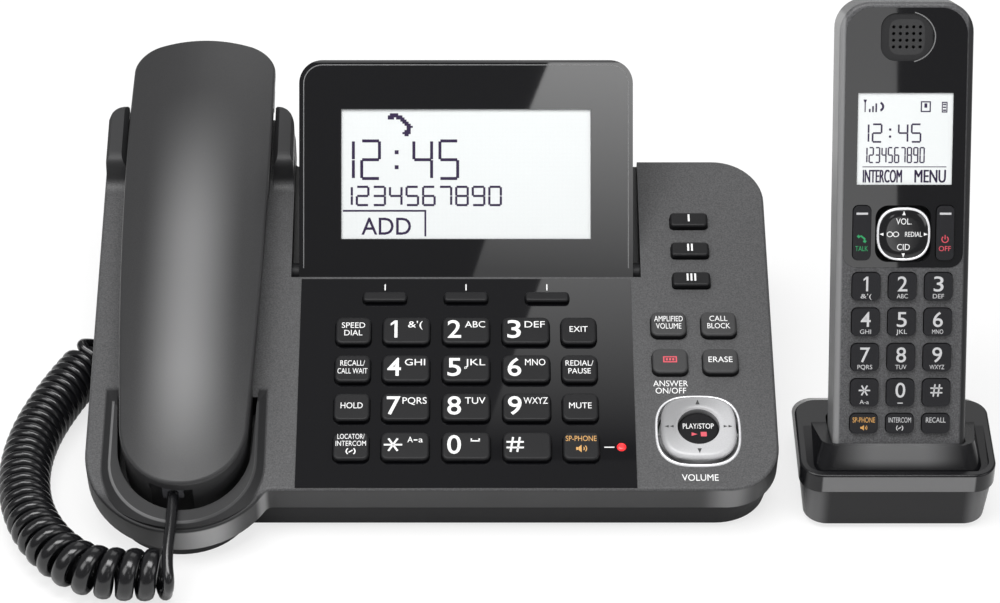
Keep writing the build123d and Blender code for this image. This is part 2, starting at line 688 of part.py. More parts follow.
# ---------------------------------------------------------------- top cover
with BuildPart() as base_top_cover:
    with BuildSketch(TOP):
        cover_outline()
    extrude(amount=-SKIRT_DEPTH)
    fillet(faces().sort_by(TOP_AXIS)[-1].edges(), TOP_EDGE)
    with BuildSketch(TOP.offset(-TOP_THICKNESS)):
        cover_outline(COVER_WALL)
    extrude(amount=-SKIRT_DEPTH, mode=Mode.SUBTRACT)
    # tray that carries the display
    with BuildSketch(SIDE.offset(RECESS_LEFT - COVER_WALL)):
        with BuildLine():
            Polyline(
                (RECESS_FRONT - COVER_WALL, -TOP_THICKNESS / 2),
                (RECESS_FRONT - COVER_WALL, -RECESS_DEPTH - COVER_WALL),
                (TOP_LENGTH - COVER_WALL, -RECESS_REAR_DEPTH - COVER_WALL),
                (TOP_LENGTH - COVER_WALL, -TOP_THICKNESS / 2),
                close=True,
            )
        make_face()
    extrude(amount=RECESS_RIGHT - RECESS_LEFT + 2 * COVER_WALL)
    add(cradle_rim.part)
    add(well_tub.part)
    add(left_ear)
    add(right_ear)
    # screw bosses stand on the case floor
    for boss_x, boss_y in BASE_SCREWS:
        with BuildSketch(desk(CASE_FLOOR)):
            with Locations((boss_x, boss_y)):
                Circle(BOSS_RADIUS)
        extrude(amount=under_cover(boss_y) + TOP_THICKNESS / 2 - CASE_FLOOR)
    # posts for the circuit board
    with BuildSketch(TOP.offset(BOARD_TOP)):
        with Locations(
            (BOARD_LEFT + POST_INSET, POST_FRONT_ROW),
            (BOARD_STEP + POST_INSET, POST_FRONT_ROW),
            (BOARD_LEFT + POST_INSET, POST_REAR_ROW),
            (BOARD_STEP + POST_INSET, POST_REAR_ROW),
            (BOARD_RIGHT - POST_INSET, POST_REAR_ROW),
            (BOARD_WING_LEFT + POST_INSET, POST_WING_ROW),
            (BOARD_RIGHT - POST_INSET, POST_WING_ROW),
        ):
            Circle(POST_RADIUS)
    extrude(amount=-BOARD_TOP - TOP_THICKNESS / 2)
    # guide of the hook plunger
    with BuildSketch(TOP.offset(-TOP_THICKNESS / 2)):
        with Locations((HOOK_X, HOOK_V)):
            guide = 2 * (HOOK_FLANGE + RUNNING + HOOK_GUIDE_WALL)
            Rectangle(HOOK_WIDTH + guide, HOOK_LENGTH + guide)
    extrude(amount=-HOOK_GUIDE_DEPTH + TOP_THICKNESS / 2)
    with BuildSketch(TOP.offset(-TOP_THICKNESS)):
        with Locations((HOOK_X, HOOK_V)):
            bore = 2 * (HOOK_FLANGE + RUNNING)
            Rectangle(HOOK_WIDTH + bore, HOOK_LENGTH + bore)
    extrude(amount=-HOOK_GUIDE_DEPTH, mode=Mode.SUBTRACT)
    with BuildSketch(TOP):
        with Locations((HOOK_X, HOOK_V)):
            Rectangle(HOOK_WIDTH + 2 * RUNNING, HOOK_LENGTH + 2 * RUNNING)
    extrude(amount=-TOP_THICKNESS, mode=Mode.SUBTRACT)
    # display recess, open at the rear
    with BuildSketch(SIDE.offset(RECESS_LEFT)):
        with BuildLine():
            Polyline(
                (RECESS_FRONT, RECESS_DEPTH),
                (RECESS_FRONT, -RECESS_DEPTH),
                (TOP_LENGTH, -RECESS_REAR_DEPTH),
                (TOP_LENGTH + COVER_WALL, -RECESS_REAR_DEPTH),
                (TOP_LENGTH + COVER_WALL, RECESS_DEPTH),
                close=True,
            )
        make_face()
    extrude(amount=RECESS_RIGHT - RECESS_LEFT, mode=Mode.SUBTRACT)
    with BuildSketch(SIDE.offset(RECESS_LEFT - COVER_WALL)):
        with Locations((DISPLAY_AXIS_V, DISPLAY_AXIS_H)):
            Circle(PIN_RADIUS + PIN_CLEARANCE)
    extrude(amount=RECESS_RIGHT - RECESS_LEFT + 2 * COVER_WALL, mode=Mode.SUBTRACT)
    # well for the mouth end of the handset
    with BuildSketch(WELL):
        handset_outline(WELL_GAP)
        with Locations((0, WELL_END + REACH / 2)):
            Rectangle(REACH, REACH, mode=Mode.SUBTRACT)
    extrude(amount=-(MOUTH_CUP_DEPTH + SEAT_GAP), mode=Mode.SUBTRACT)
    # seat of the faceplate and the opening below it
    with BuildSketch(TOP):
        box_area(PLATE_LEFT, PLATE_RIGHT, PLATE_FRONT, PLATE_REAR, PLATE_CORNER)
    extrude(amount=-PLATE_SINK, mode=Mode.SUBTRACT)
    with BuildSketch(TOP):
        key_field(PLATE_KEYS)
    extrude(amount=-TOP_THICKNESS, mode=Mode.SUBTRACT)
    # wing keys: thinner cover from below, one hole for each key
    with BuildSketch(TOP.offset(-TOP_THICKNESS)):
        key_field(WING_KEYS[:3])
        key_field(WING_KEYS[3:])
    extrude(amount=TOP_THICKNESS - PLATE_SINK, mode=Mode.SUBTRACT)
    with BuildSketch(TOP):
        key_holes(WING_KEYS, RUNNING)
    extrude(amount=-TOP_THICKNESS, mode=Mode.SUBTRACT)
    # stepped hole of the navigator and the notches of its two pins
    for radius, depth in ((TRIM_RADIUS, TRIM_SINK), (TRIM_SLEEVE, TOP_THICKNESS)):
        with BuildSketch(TOP):
            with Locations((WING_CENTRE, NAVIGATOR_ROW)):
                Circle(radius)
        extrude(amount=-depth, mode=Mode.SUBTRACT)
    with BuildSketch(NAVIGATOR_SIDE):
        Circle(TRUNNION_RADIUS + TRUNNION_GAP)
    extrude(amount=TRUNNION_REACH + TRUNNION_GAP, both=True, mode=Mode.SUBTRACT)
    # screw bores
    for boss_x, boss_y in BASE_SCREWS:
        with BuildSketch(desk(CASE_FLOOR)):
            with Locations((boss_x, boss_y)):
                Circle(SCREW_RADIUS)
        extrude(amount=SCREW_GRIP, mode=Mode.SUBTRACT)
save(base_top_cover, "base_top_cover")

# ---------------------------------------------------------------- bottom case
with BuildPart() as hook_post:
    post_place = TOP.from_local_coords((HOOK_X, HOOK_V, -TOP_THICKNESS - HOOK_TRAVEL))
    with BuildSketch(Plane(origin=(post_place.X, post_place.Y, FOOT_HEIGHT))):
        Rectangle(HOOK_POST_WIDTH, HOOK_POST_LENGTH)
    extrude(amount=HOOK_POST_HEIGHT)
    flange_floor = -TOP_THICKNESS - HOOK_TRAVEL - HOOK_STOP_GAP - HOOK_FLANGE_THICKNESS
    split(bisect_by=TOP.offset(flange_floor - SEAT_GAP), keep=Keep.BOTTOM)

with BuildPart() as case_cavity:
    with BuildSketch(TOP.offset(-SKIRT_DEPTH)):
        cover_outline(REVEAL + CASE_WALL)
    with BuildSketch(desk(CASE_FLOOR)):
        floor_outline(CASE_WALL)
    loft(ruled=True)
    # blocks that stay solid: walls of the cord recess and the plug's jack
    with BuildSketch(desk(0)):
        box_area(
            BASE_LEFT,
            CORD_RECESS_RIGHT + JACK_WALL,
            CORD_RECESS_FRONT - JACK_WALL,
            CORD_RECESS_REAR + JACK_WALL,
        )
    extrude(amount=CORD_RECESS_TOP + JACK_WALL, mode=Mode.SUBTRACT)
    with BuildSketch(desk(0)):
        box_area(
            BASE_LEFT,
            BASE_PLUG_X + PLUG_WIDTH / 2 + JACK_WALL,
            CORD_RECESS_REAR,
            BASE_PLUG_Y + PLUG_LENGTH + JACK_WALL,
        )
    extrude(amount=BASE_PLUG_Z + PLUG_HEIGHT / 2 + JACK_WALL, mode=Mode.SUBTRACT)

with BuildPart() as base_bottom_case:
    with BuildSketch(TOP.offset(-SKIRT_DEPTH)):
        cover_outline(REVEAL)
    with BuildSketch(desk(FOOT_HEIGHT)):
        floor_outline()
    loft(ruled=True)
    add(case_cavity.part, mode=Mode.SUBTRACT)
    add(hook_post.part)
    # recess and plug hole of the handset cord
    with BuildSketch(desk(CORD_RECESS_BOTTOM)):
        box_area(BASE_LEFT, CORD_RECESS_RIGHT, CORD_RECESS_FRONT, CORD_RECESS_REAR)
    extrude(amount=CORD_RECESS_TOP - CORD_RECESS_BOTTOM, mode=Mode.SUBTRACT)
    with BuildSketch(Plane(origin=(BASE_X, BASE_Y + BASE_PLUG_Y, 0), x_dir=(1, 0, 0), z_dir=(0, -1, 0))):
        with Locations((BASE_PLUG_X, BASE_PLUG_Z)):
            Rectangle(PLUG_WIDTH + 2 * PLUG_GAP, PLUG_HEIGHT + 2 * PLUG_GAP)
    extrude(amount=-PLUG_LENGTH, mode=Mode.SUBTRACT)
    # screw holes
    with BuildSketch(desk(FOOT_HEIGHT)):
        with Locations(*BASE_SCREWS):
            Circle(SCREW_RADIUS)
    extrude(amount=CASE_WALL, mode=Mode.SUBTRACT)
    with BuildSketch(desk(FOOT_HEIGHT)):
        with Locations(*BASE_SCREWS):
            Circle(HEAD_RADIUS)
    extrude(amount=HEAD_HEIGHT, mode=Mode.SUBTRACT)
    # sound slots below the loudspeaker
    with BuildSketch(desk(FOOT_HEIGHT)):
        with Locations((SPEAKER_X, SPEAKER_Y)):
            with GridLocations(0, SLOT_PITCH, 1, SLOT_COUNT):
                SlotOverall(SLOT_LENGTH, SLOT_WIDTH)
    extrude(amount=CASE_WALL, mode=Mode.SUBTRACT)
    # holes of the rear sockets
    rear_wall = Plane(origin=(BASE_X, BASE_Y + REAR_Y, 0), x_dir=(1, 0, 0), z_dir=(0, -1, 0))
    with BuildSketch(rear_wall):
        with Locations((LINE_X, SOCKET_HEIGHT)):
            Rectangle(LINE_WIDTH, LINE_OPENING)
        with Locations((POWER_X, SOCKET_HEIGHT)):
            Circle(POWER_BORE)
    extrude(amount=CASE_WALL, mode=Mode.SUBTRACT)
save(base_bottom_case, "base_bottom_case")

with BuildPart() as rear_sockets:
    with BuildSketch(rear_wall.offset(CASE_WALL)):
        with Locations((LINE_X, SOCKET_HEIGHT)):
            Rectangle(LINE_BODY_WIDTH, LINE_BODY_HEIGHT)
            Rectangle(LINE_WIDTH, LINE_OPENING, mode=Mode.SUBTRACT)
        with Locations((POWER_X, SOCKET_HEIGHT)):
            Rectangle(POWER_BODY, POWER_BODY)
            Circle(POWER_BORE, mode=Mode.SUBTRACT)
    extrude(amount=SOCKET_DEPTH - CASE_WALL)
    with BuildSketch(rear_wall.offset(SOCKET_DEPTH)):
        with Locations((LINE_X, SOCKET_HEIGHT)):
            Rectangle(LINE_BODY_WIDTH, LINE_BODY_HEIGHT)
        with Locations((POWER_X, SOCKET_HEIGHT)):
            Rectangle(POWER_BODY, POWER_BODY)
    extrude(amount=SOCKET_BODY_DEPTH - SOCKET_DEPTH + CASE_WALL)
    with BuildSketch(rear_wall.offset(CASE_WALL)):
        with Locations((POWER_X, SOCKET_HEIGHT)):
            Circle(POWER_PIN)
    extrude(amount=SOCKET_DEPTH - CASE_WALL)
save(rear_sockets, "rear_sockets")

with BuildPart() as loudspeaker:
    with BuildSketch(desk(CASE_FLOOR)):
        with Locations((SPEAKER_X, SPEAKER_Y)):
            Circle(SPEAKER_RADIUS)
    extrude(amount=SPEAKER_RIM)
    with BuildSketch(desk(CASE_FLOOR + SPEAKER_RIM)):
        with Locations((SPEAKER_X, SPEAKER_Y)):
            Circle(SPEAKER_BASKET)
    with BuildSketch(desk(CASE_FLOOR + SPEAKER_RIM + SPEAKER_BASKET_HEIGHT)):
        with Locations((SPEAKER_X, SPEAKER_Y)):
            Circle(SPEAKER_MAGNET)
    loft()
    with BuildSketch(desk(CASE_FLOOR + SPEAKER_RIM + SPEAKER_BASKET_HEIGHT)):
        with Locations((SPEAKER_X, SPEAKER_Y)):
            Circle(SPEAKER_MAGNET)
    extrude(amount=SPEAKER_HEIGHT - SPEAKER_RIM - SPEAKER_BASKET_HEIGHT)
save(loudspeaker, "loudspeaker")

with BuildPart() as main_circuit_board:
    with BuildSketch(TOP.offset(BOARD_TOP)):
        box_area(BOARD_LEFT, BOARD_STEP, BOARD_FRONT, BOARD_REAR)
        box_area(BOARD_STEP, BOARD_RIGHT, BOARD_WING_FRONT, BOARD_REAR)
        box_area(BOARD_WING_LEFT, BOARD_RIGHT, BOARD_REAR, BOARD_WING_REAR)
    extrude(amount=-BOARD_THICKNESS)
save(main_circuit_board, "main_circuit_board")

# ---------------------------------------------------------------- keypad pieces
with BuildPart() as keypad_faceplate:
    with BuildSketch(TOP.offset(-PLATE_SINK)):
        box_area(PLATE_LEFT, PLATE_RIGHT, PLATE_FRONT, PLATE_REAR, PLATE_CORNER)
    extrude(amount=PLATE_SINK + PLATE_PROUD)
    with BuildSketch(TOP.offset(PLATE_PROUD)):
        key_holes(PLATE_KEYS, RUNNING)
    extrude(amount=-PLATE_SINK - PLATE_PROUD, mode=Mode.SUBTRACT)
save(keypad_faceplate, "keypad_faceplate")


def make_key(node, column, row, width, depth):
    """One key: a rounded cap above a wider flange that the plate holds down."""
    corner = key_corner(depth)
    with BuildPart() as key:
        with BuildSketch(TOP.offset(KEY_BOTTOM)):
            with Locations((column, row)):
                RectangleRounded(width + 2 * KEY_FLANGE, depth + 2 * KEY_FLANGE, corner + KEY_FLANGE)
        extrude(amount=FLANGE_THICKNESS)
        with BuildSketch(TOP.offset(KEY_TOP_OF_FLANGE)):
            with Locations((column, row)):
                RectangleRounded(width, depth, corner)
        extrude(amount=KEY_RISE - KEY_TOP_OF_FLANGE)
        fillet(faces().sort_by(TOP_AXIS)[-1].edges(), KEY_EDGE)
    save(key, node)


for key_name, key_column, key_row, key_width, key_depth in PLATE_KEYS + WING_KEYS:
    make_key(key_name, key_column, key_row, key_width, key_depth)

with BuildPart() as navigator_trim_ring:
    with BuildSketch(TOP.offset(-TRIM_SINK)):
        with Locations((WING_CENTRE, NAVIGATOR_ROW)):
            Circle(TRIM_RADIUS)
            Circle(TRIM_BORE, mode=Mode.SUBTRACT)
    extrude(amount=TRIM_SINK + TRIM_PROUD)
    chamfer(faces().sort_by(TOP_AXIS)[-1].edges(), TRIM_SINK)
    with BuildSketch(TOP.offset(-TRIM_SINK)):
        with Locations((WING_CENTRE, NAVIGATOR_ROW)):
            Circle(TRIM_SLEEVE)
            Circle(TRIM_BORE, mode=Mode.SUBTRACT)
    extrude(amount=TRIM_SINK - PLATE_SINK)
save(navigator_trim_ring, "navigator_trim_ring")

with BuildPart() as navigator_key:
    with BuildSketch(TOP.offset(NAVIGATOR_FLANGE_TOP)):
        with Locations((WING_CENTRE, NAVIGATOR_ROW)):
            Circle(NAVIGATOR_RADIUS)
    extrude(amount=NAVIGATOR_RISE - NAVIGATOR_FLANGE_TOP)
    fillet(faces().sort_by(TOP_AXIS)[-1].edges(), NAVIGATOR_EDGE)
    with BuildSketch(TOP.offset(NAVIGATOR_BOTTOM)):
        with Locations((WING_CENTRE, NAVIGATOR_ROW)):
            Circle(NAVIGATOR_FLANGE)
    extrude(amount=NAVIGATOR_FLANGE_TOP - NAVIGATOR_BOTTOM)
    # pins of the rocking axis
    with BuildSketch(NAVIGATOR_SIDE):
        Circle(TRUNNION_RADIUS)
    extrude(amount=TRUNNION_REACH, both=True)
    with BuildSketch(TOP):
        with Locations((WING_CENTRE, NAVIGATOR_ROW)):
            Circle(NAVIGATOR_BORE)
    extrude(amount=PLAY_REACH, both=True, mode=Mode.SUBTRACT)
    with BuildSketch(TOP.offset(BOARD_TOP + NUB_GAP)):
        with Locations((WING_CENTRE - NUB_OFFSET, NAVIGATOR_ROW), (WING_CENTRE + NUB_OFFSET, NAVIGATOR_ROW)):
            Circle(NUB_RADIUS)
    extrude(amount=NAVIGATOR_FLANGE_TOP - BOARD_TOP - NUB_GAP)
save(navigator_key, "navigator_key")

with BuildPart() as play_stop_key:
    with BuildSketch(TOP.offset(KEY_BOTTOM)):
        with Locations((WING_CENTRE, NAVIGATOR_ROW)):
            Circle(PLAY_RADIUS)
    extrude(amount=PLAY_RISE - KEY_BOTTOM)
    fillet(faces().sort_by(TOP_AXIS)[-1].edges(), PLAY_EDGE)
save(play_stop_key, "play_stop_key")

# ---------------------------------------------------------------- hook switch
with BuildPart() as hook_switch_plunger:
    flange_top = -TOP_THICKNESS - HOOK_TRAVEL - HOOK_STOP_GAP
    with BuildSketch(TOP.offset(flange_top)):
        with Locations((HOOK_X, HOOK_V)):
            Rectangle(HOOK_WIDTH, HOOK_LENGTH)
    extrude(amount=HOOK_TOP - flange_top)
    fillet(faces().sort_by(TOP_AXIS)[-1].edges(), HOOK_EDGE)
    with BuildSketch(TOP.offset(flange_top)):
        with Locations((HOOK_X, HOOK_V)):
            Rectangle(HOOK_WIDTH + 2 * HOOK_FLANGE, HOOK_LENGTH + 2 * HOOK_FLANGE)
    extrude(amount=-HOOK_FLANGE_THICKNESS)
save(hook_switch_plunger, "hook_switch_plunger")

# ---------------------------------------------------------------- feet and screws
with BuildPart() as rubber_feet:
    with BuildSketch(desk(0)):
        with Locations(*BASE_FEET):
            Circle(FOOT_RADIUS)
    with BuildSketch(CHARGER):
        with Locations(
            (-CHARGER_FOOT_X, CHARGER_FOOT_FRONT),
            (CHARGER_FOOT_X, CHARGER_FOOT_FRONT),
            (-CHARGER_FOOT_X, CHARGER_FOOT_REAR),
            (CHARGER_FOOT_X, CHARGER_FOOT_REAR),
        ):
            Circle(CHARGER_FOOT_RADIUS)
    extrude(amount=FOOT_HEIGHT)
save(rubber_feet, "rubber_feet")

CHARGER_SCREWS = [(-CHARGER_SCREW_X, CHARGER_SCREW_Y), (CHARGER_SCREW_X, CHARGER_SCREW_Y)]
with BuildPart() as case_screws:
    for plane, places in ((DESK, BASE_SCREWS), (CHARGER, CHARGER_SCREWS)):
        with BuildSketch(plane.offset(FOOT_HEIGHT)):
            with Locations(*places):
                Circle(HEAD_RADIUS)
        extrude(amount=HEAD_HEIGHT)
        with BuildSketch(plane.offset(FOOT_HEIGHT + HEAD_HEIGHT)):
            with Locations(*places):
                Circle(SCREW_RADIUS)
        extrude(amount=CASE_WALL - HEAD_HEIGHT + SCREW_GRIP)
save(case_screws, "case_screws")

# ---------------------------------------------------------------- display
HALF_DISPLAY = DISPLAY_WIDTH / 2
FACE_FOOT = -sqrt(DISPLAY_BARREL**2 - DISPLAY_FACE**2)
SEAM_FOOT = -sqrt(DISPLAY_BARREL**2 - DISPLAY_SEAM**2)
POCKET_FLOOR = DISPLAY_WALL - DISPLAY_BACK


def display_area(inset=0.0):
    """Front view of the display with its two rounded upper corners."""
    box_area(-HALF_DISPLAY + inset, HALF_DISPLAY - inset, -DISPLAY_BARREL, DISPLAY_HEIGHT - inset)
    for side in (-HALF_DISPLAY + inset, HALF_DISPLAY - inset):
        fillet(vertices().sort_by_distance((side, DISPLAY_HEIGHT - inset, 0))[0], DISPLAY_CORNER - inset)


with BuildPart() as display_rear_cover:
    with BuildSketch(DISPLAY_SIDE.offset(-HALF_DISPLAY)):
        with BuildLine():
            ThreePointArc((SEAM_FOOT, DISPLAY_SEAM), (-DISPLAY_BARREL, 0), (0, -DISPLAY_BARREL))
            Polyline(
                (0, -DISPLAY_BARREL),
                (DISPLAY_BACK_RADIUS, -DISPLAY_BACK),
                (DISPLAY_HEIGHT, -DISPLAY_BACK),
                (DISPLAY_HEIGHT, DISPLAY_SEAM),
                (SEAM_FOOT, DISPLAY_SEAM),
            )
        make_face()
        fillet(vertices().sort_by_distance((DISPLAY_HEIGHT, -DISPLAY_BACK, 0))[0], DISPLAY_BACK_RADIUS)
    extrude(amount=DISPLAY_WIDTH)
    with BuildSketch(DISPLAY):
        display_area()
    extrude(amount=2 * DISPLAY_BACK, both=True, mode=Mode.INTERSECT)
    with BuildSketch(DISPLAY.offset(DISPLAY_SEAM)):
        box_area(
            -HALF_DISPLAY + DISPLAY_WALL,
            HALF_DISPLAY - DISPLAY_WALL,
            DISPLAY_BARREL,
            DISPLAY_HEIGHT - DISPLAY_WALL,
            DISPLAY_CORNER - DISPLAY_WALL,
        )
    extrude(amount=POCKET_FLOOR - DISPLAY_SEAM, mode=Mode.SUBTRACT)
    with BuildSketch(DISPLAY.offset(POCKET_FLOOR)):
        with Locations((0, WINDOW_FOOT + WINDOW_HEIGHT / 2)):
            with GridLocations(MODULE_WIDTH - MODULE_POST, MODULE_HEIGHT - MODULE_POST, 2, 2):
                Rectangle(MODULE_POST, MODULE_POST)
    extrude(amount=DISPLAY_SEAM - MODULE_DEPTH - POCKET_FLOOR)
    for side in (-1, 1):
        end_plane = DISPLAY_SIDE.offset(side * HALF_DISPLAY)
        with BuildSketch(end_plane):
            Circle(COLLAR_RADIUS)
        extrude(amount=side * (RECESS_SIDE_GAP - COLLAR_GAP))
        with BuildSketch(end_plane):
            Circle(PIN_RADIUS)
        extrude(amount=side * (RECESS_SIDE_GAP + PIN_LENGTH))
save(display_rear_cover, "display_rear_cover")

with BuildPart() as display_front_bezel:
    with BuildSketch(DISPLAY_SIDE.offset(-HALF_DISPLAY)):
        with BuildLine():
            lower = ThreePointArc(
                (FACE_FOOT, DISPLAY_FACE),
                (-DISPLAY_BARREL * sin(radians(DISPLAY_TILT)), DISPLAY_BARREL * cos(radians(DISPLAY_TILT))),
                (SEAM_FOOT, DISPLAY_SEAM),
            )
            Polyline(
                lower @ 1,
                (DISPLAY_HEIGHT, DISPLAY_SEAM),
                (DISPLAY_HEIGHT, DISPLAY_FACE - BEZEL_INSET),
                (DISPLAY_HEIGHT - BEZEL_INSET, DISPLAY_FACE),
                lower @ 0,
            )
        make_face()
    extrude(amount=DISPLAY_WIDTH)
    with BuildSketch(DISPLAY):
        display_area()
    extrude(amount=DISPLAY_FACE + DISPLAY_SEAM, mode=Mode.INTERSECT)
    with BuildSketch(DISPLAY):
        with Locations((0, WINDOW_FOOT + WINDOW_HEIGHT / 2)):
            Rectangle(WINDOW_WIDTH, WINDOW_HEIGHT)
    extrude(amount=DISPLAY_FACE + DISPLAY_SEAM, mode=Mode.SUBTRACT)
save(display_front_bezel, "display_front_bezel")

with BuildPart() as display_lcd_module:
    with BuildSketch(DISPLAY.offset(DISPLAY_SEAM)):
        with Locations((0, WINDOW_FOOT + WINDOW_HEIGHT / 2)):
            Rectangle(MODULE_WIDTH, MODULE_HEIGHT)
    extrude(amount=-MODULE_DEPTH)
    with BuildSketch(DISPLAY.offset(DISPLAY_SEAM)):
        with Locations((0, WINDOW_FOOT + WINDOW_HEIGHT / 2)):
            Rectangle(WINDOW_WIDTH - 2 * GLASS_GAP, WINDOW_HEIGHT - 2 * GLASS_GAP)
    extrude(amount=DISPLAY_FACE - GLASS_SINK - DISPLAY_SEAM)
save(display_lcd_module, "display_lcd_module")

# ---------------------------------------------------------------- corded handset
JACK_SLOT_LEFT = JACK_SLOT_OFFSET - JACK_SLOT_WIDTH / 2
JACK_SLOT_RIGHT = JACK_SLOT_OFFSET + JACK_SLOT_WIDTH / 2
RECEIVER_PLACE = HANDSET_LENGTH - (EAR_CUP_LENGTH + LIP_LENGTH) / 2


def arch_point(y, depth):
    """Point of the lengthwise arc at a depth below the handset's top."""
    return y, sqrt((ARCH_RADIUS - depth) ** 2 - (y - ARCH_APEX) ** 2) - ARCH_RADIUS


def crown_body(inset=0.0):
    """Space under the arched and crowned top of the handset."""
    radius = CROWN_RADIUS - inset
    top = ARCH_RADIUS - inset
    side = top - radius + sqrt(radius**2 - CROWN_REACH**2)
    foot = ARCH_RADIUS - HANDSET_LENGTH / 2
    spoke = HANDSET.z_dir * cos(radians(ARCH_ANGLE)) - HANDSET.y_dir * sin(radians(ARCH_ANGLE))
    with BuildPart() as body:
        with BuildSketch(Plane(origin=ARCH_CENTRE, x_dir=(1, 0, 0), z_dir=Vector(1, 0, 0).cross(spoke))):
            with BuildLine():
                crown = ThreePointArc((-CROWN_REACH, side), (0, top), (CROWN_REACH, side))
                Polyline(crown @ 1, (CROWN_REACH, foot), (-CROWN_REACH, foot), crown @ 0)
            make_face()
        revolve(axis=Axis(ARCH_CENTRE, (-1, 0, 0)), revolution_arc=2 * ARCH_ANGLE)
    return body.part


def underside_body(inset=0.0):
    """Space above the handset's underside with its two cups and the rear lip."""
    ear_start = HANDSET_LENGTH - EAR_CUP_LENGTH + inset
    lip_start = HANDSET_LENGTH - LIP_LENGTH + inset
    rear = HANDSET_LENGTH + ARCH_MARGIN
    with BuildPart() as body:
        with BuildSketch(HANDSET_SIDE.offset(-CROWN_REACH)):
            with BuildLine():
                Polyline(
                    (-ARCH_MARGIN, ARCH_MARGIN),
                    (-ARCH_MARGIN, inset - MOUTH_CUP_DEPTH),
                    (MOUTH_CUP_END - inset, inset - MOUTH_CUP_DEPTH),
                    (MOUTH_CUP_END + MOUTH_RAMP - inset, inset - INNER_DEPTH),
                    (ear_start - EAR_RAMP, inset - INNER_DEPTH),
                    (ear_start, inset - EAR_CUP_DEPTH),
                    (lip_start, inset - EAR_CUP_DEPTH),
                    (lip_start + LIP_RAMP, inset - LIP_DEPTH),
                    (rear, inset - LIP_DEPTH),
                    (rear, ARCH_MARGIN),
                    close=True,
                )
            make_face()
        extrude(amount=2 * CROWN_REACH)
    return body.part


with BuildPart() as below_parting:
    with BuildSketch(HANDSET_SIDE.offset(-CROWN_REACH)):
        with BuildLine():
            parting = ThreePointArc(
                arch_point(-ARCH_MARGIN, OUTER_DEPTH),
                arch_point(ARCH_APEX, OUTER_DEPTH),
                arch_point(HANDSET_LENGTH + ARCH_MARGIN, OUTER_DEPTH),
            )
            Polyline(
                parting @ 1,
                (HANDSET_LENGTH + ARCH_MARGIN, -HANDSET_LENGTH),
                (-ARCH_MARGIN, -HANDSET_LENGTH),
                parting @ 0,
            )
        make_face()
    extrude(amount=2 * CROWN_REACH)

with BuildPart() as outer_hollow:
    with BuildSketch(HANDSET):
        handset_outline(-HANDSET_WALL)
    extrude(amount=-HANDSET_LENGTH)
    add(crown_body(HANDSET_WALL), mode=Mode.INTERSECT)

with BuildPart() as inner_hollow:
    with BuildSketch(HANDSET):
        handset_outline(-INNER_INSET - HANDSET_WALL)
    extrude(amount=-MOUTH_CUP_DEPTH)
    add(underside_body(HANDSET_WALL), mode=Mode.INTERSECT)

with BuildPart() as handset_outer_shell:
    with BuildSketch(HANDSET):
        handset_outline()
    extrude(amount=-HANDSET_LENGTH)
    add(crown_body(), mode=Mode.INTERSECT)
    fillet(faces().sort_by(HANDSET_AXIS)[-1].edges(), CROWN_EDGE)
    add(below_parting.part, mode=Mode.SUBTRACT)
    add(outer_hollow.part, mode=Mode.SUBTRACT)
    with BuildSketch(HANDSET.offset(-JACK_SLOT_TOP)):
        box_area(JACK_SLOT_LEFT, JACK_SLOT_RIGHT, -JACK_SLOT_DEPTH, JACK_SLOT_DEPTH)
        box_area(
            JACK_LEFT - PLUG_GAP,
            JACK_RIGHT + PLUG_GAP,
            JACK_SLOT_DEPTH,
            PLUG_START + PLUG_LENGTH + JACK_WALL + PLUG_GAP,
        )
    extrude(amount=-PLUG_DEPTH, mode=Mode.SUBTRACT)
save(handset_outer_shell, "handset_outer_shell")

with BuildPart() as handset_inner_shell:
    with BuildSketch(HANDSET):
        handset_outline(-INNER_INSET)
    extrude(amount=-HANDSET_LENGTH)
    add(below_parting.part, mode=Mode.INTERSECT)
    add(underside_body(), mode=Mode.INTERSECT)
    fillet(faces().sort_by(HANDSET_AXIS)[0].edges(), CUP_EDGE)
    add(inner_hollow.part, mode=Mode.SUBTRACT)
    # jack block of the cord, down to the cup's floor
    with BuildSketch(HANDSET.offset(-JACK_SLOT_TOP - PLUG_GAP)):
        box_area(JACK_LEFT, JACK_RIGHT, JACK_SLOT_DEPTH, PLUG_START + PLUG_LENGTH + JACK_WALL)
    extrude(amount=JACK_SLOT_TOP + PLUG_GAP - MOUTH_CUP_DEPTH + HANDSET_WALL / 2)
    with BuildSketch(HANDSET):
        box_area(JACK_SLOT_LEFT, JACK_SLOT_RIGHT, -JACK_SLOT_DEPTH, JACK_SLOT_DEPTH)
    extrude(amount=-HANDSET_LENGTH, mode=Mode.SUBTRACT)
    plug_plane = Plane(
        origin=HANDSET.from_local_coords((PLUG_OFFSET, PLUG_START, -PLUG_DEPTH)),
        x_dir=(1, 0, 0),
        z_dir=HANDSET.y_dir,
    )
    with BuildSketch(plug_plane):
        Rectangle(PLUG_WIDTH + 2 * PLUG_GAP, PLUG_HEIGHT + 2 * PLUG_GAP)
    extrude(amount=PLUG_LENGTH, mode=Mode.SUBTRACT)
    # sound holes of both cups
    with BuildSketch(HANDSET.offset(-EAR_CUP_DEPTH)):
        with Locations((0, RECEIVER_PLACE)):
            Circle(SOUND_RADIUS)
            with PolarLocations(SOUND_RING, SOUND_COUNT):
                Circle(SOUND_RADIUS)
    extrude(amount=HANDSET_WALL, mode=Mode.SUBTRACT)
    with BuildSketch(HANDSET.offset(-MOUTH_CUP_DEPTH)):
        with Locations((0, MOUTH_CUP_END * MOUTH_SOUND_SHARE)):
            Circle(SOUND_RADIUS)
            with PolarLocations(MOUTH_SOUND_RING, SOUND_COUNT):
                Circle(SOUND_RADIUS)
    extrude(amount=HANDSET_WALL, mode=Mode.SUBTRACT)
save(handset_inner_shell, "handset_inner_shell")

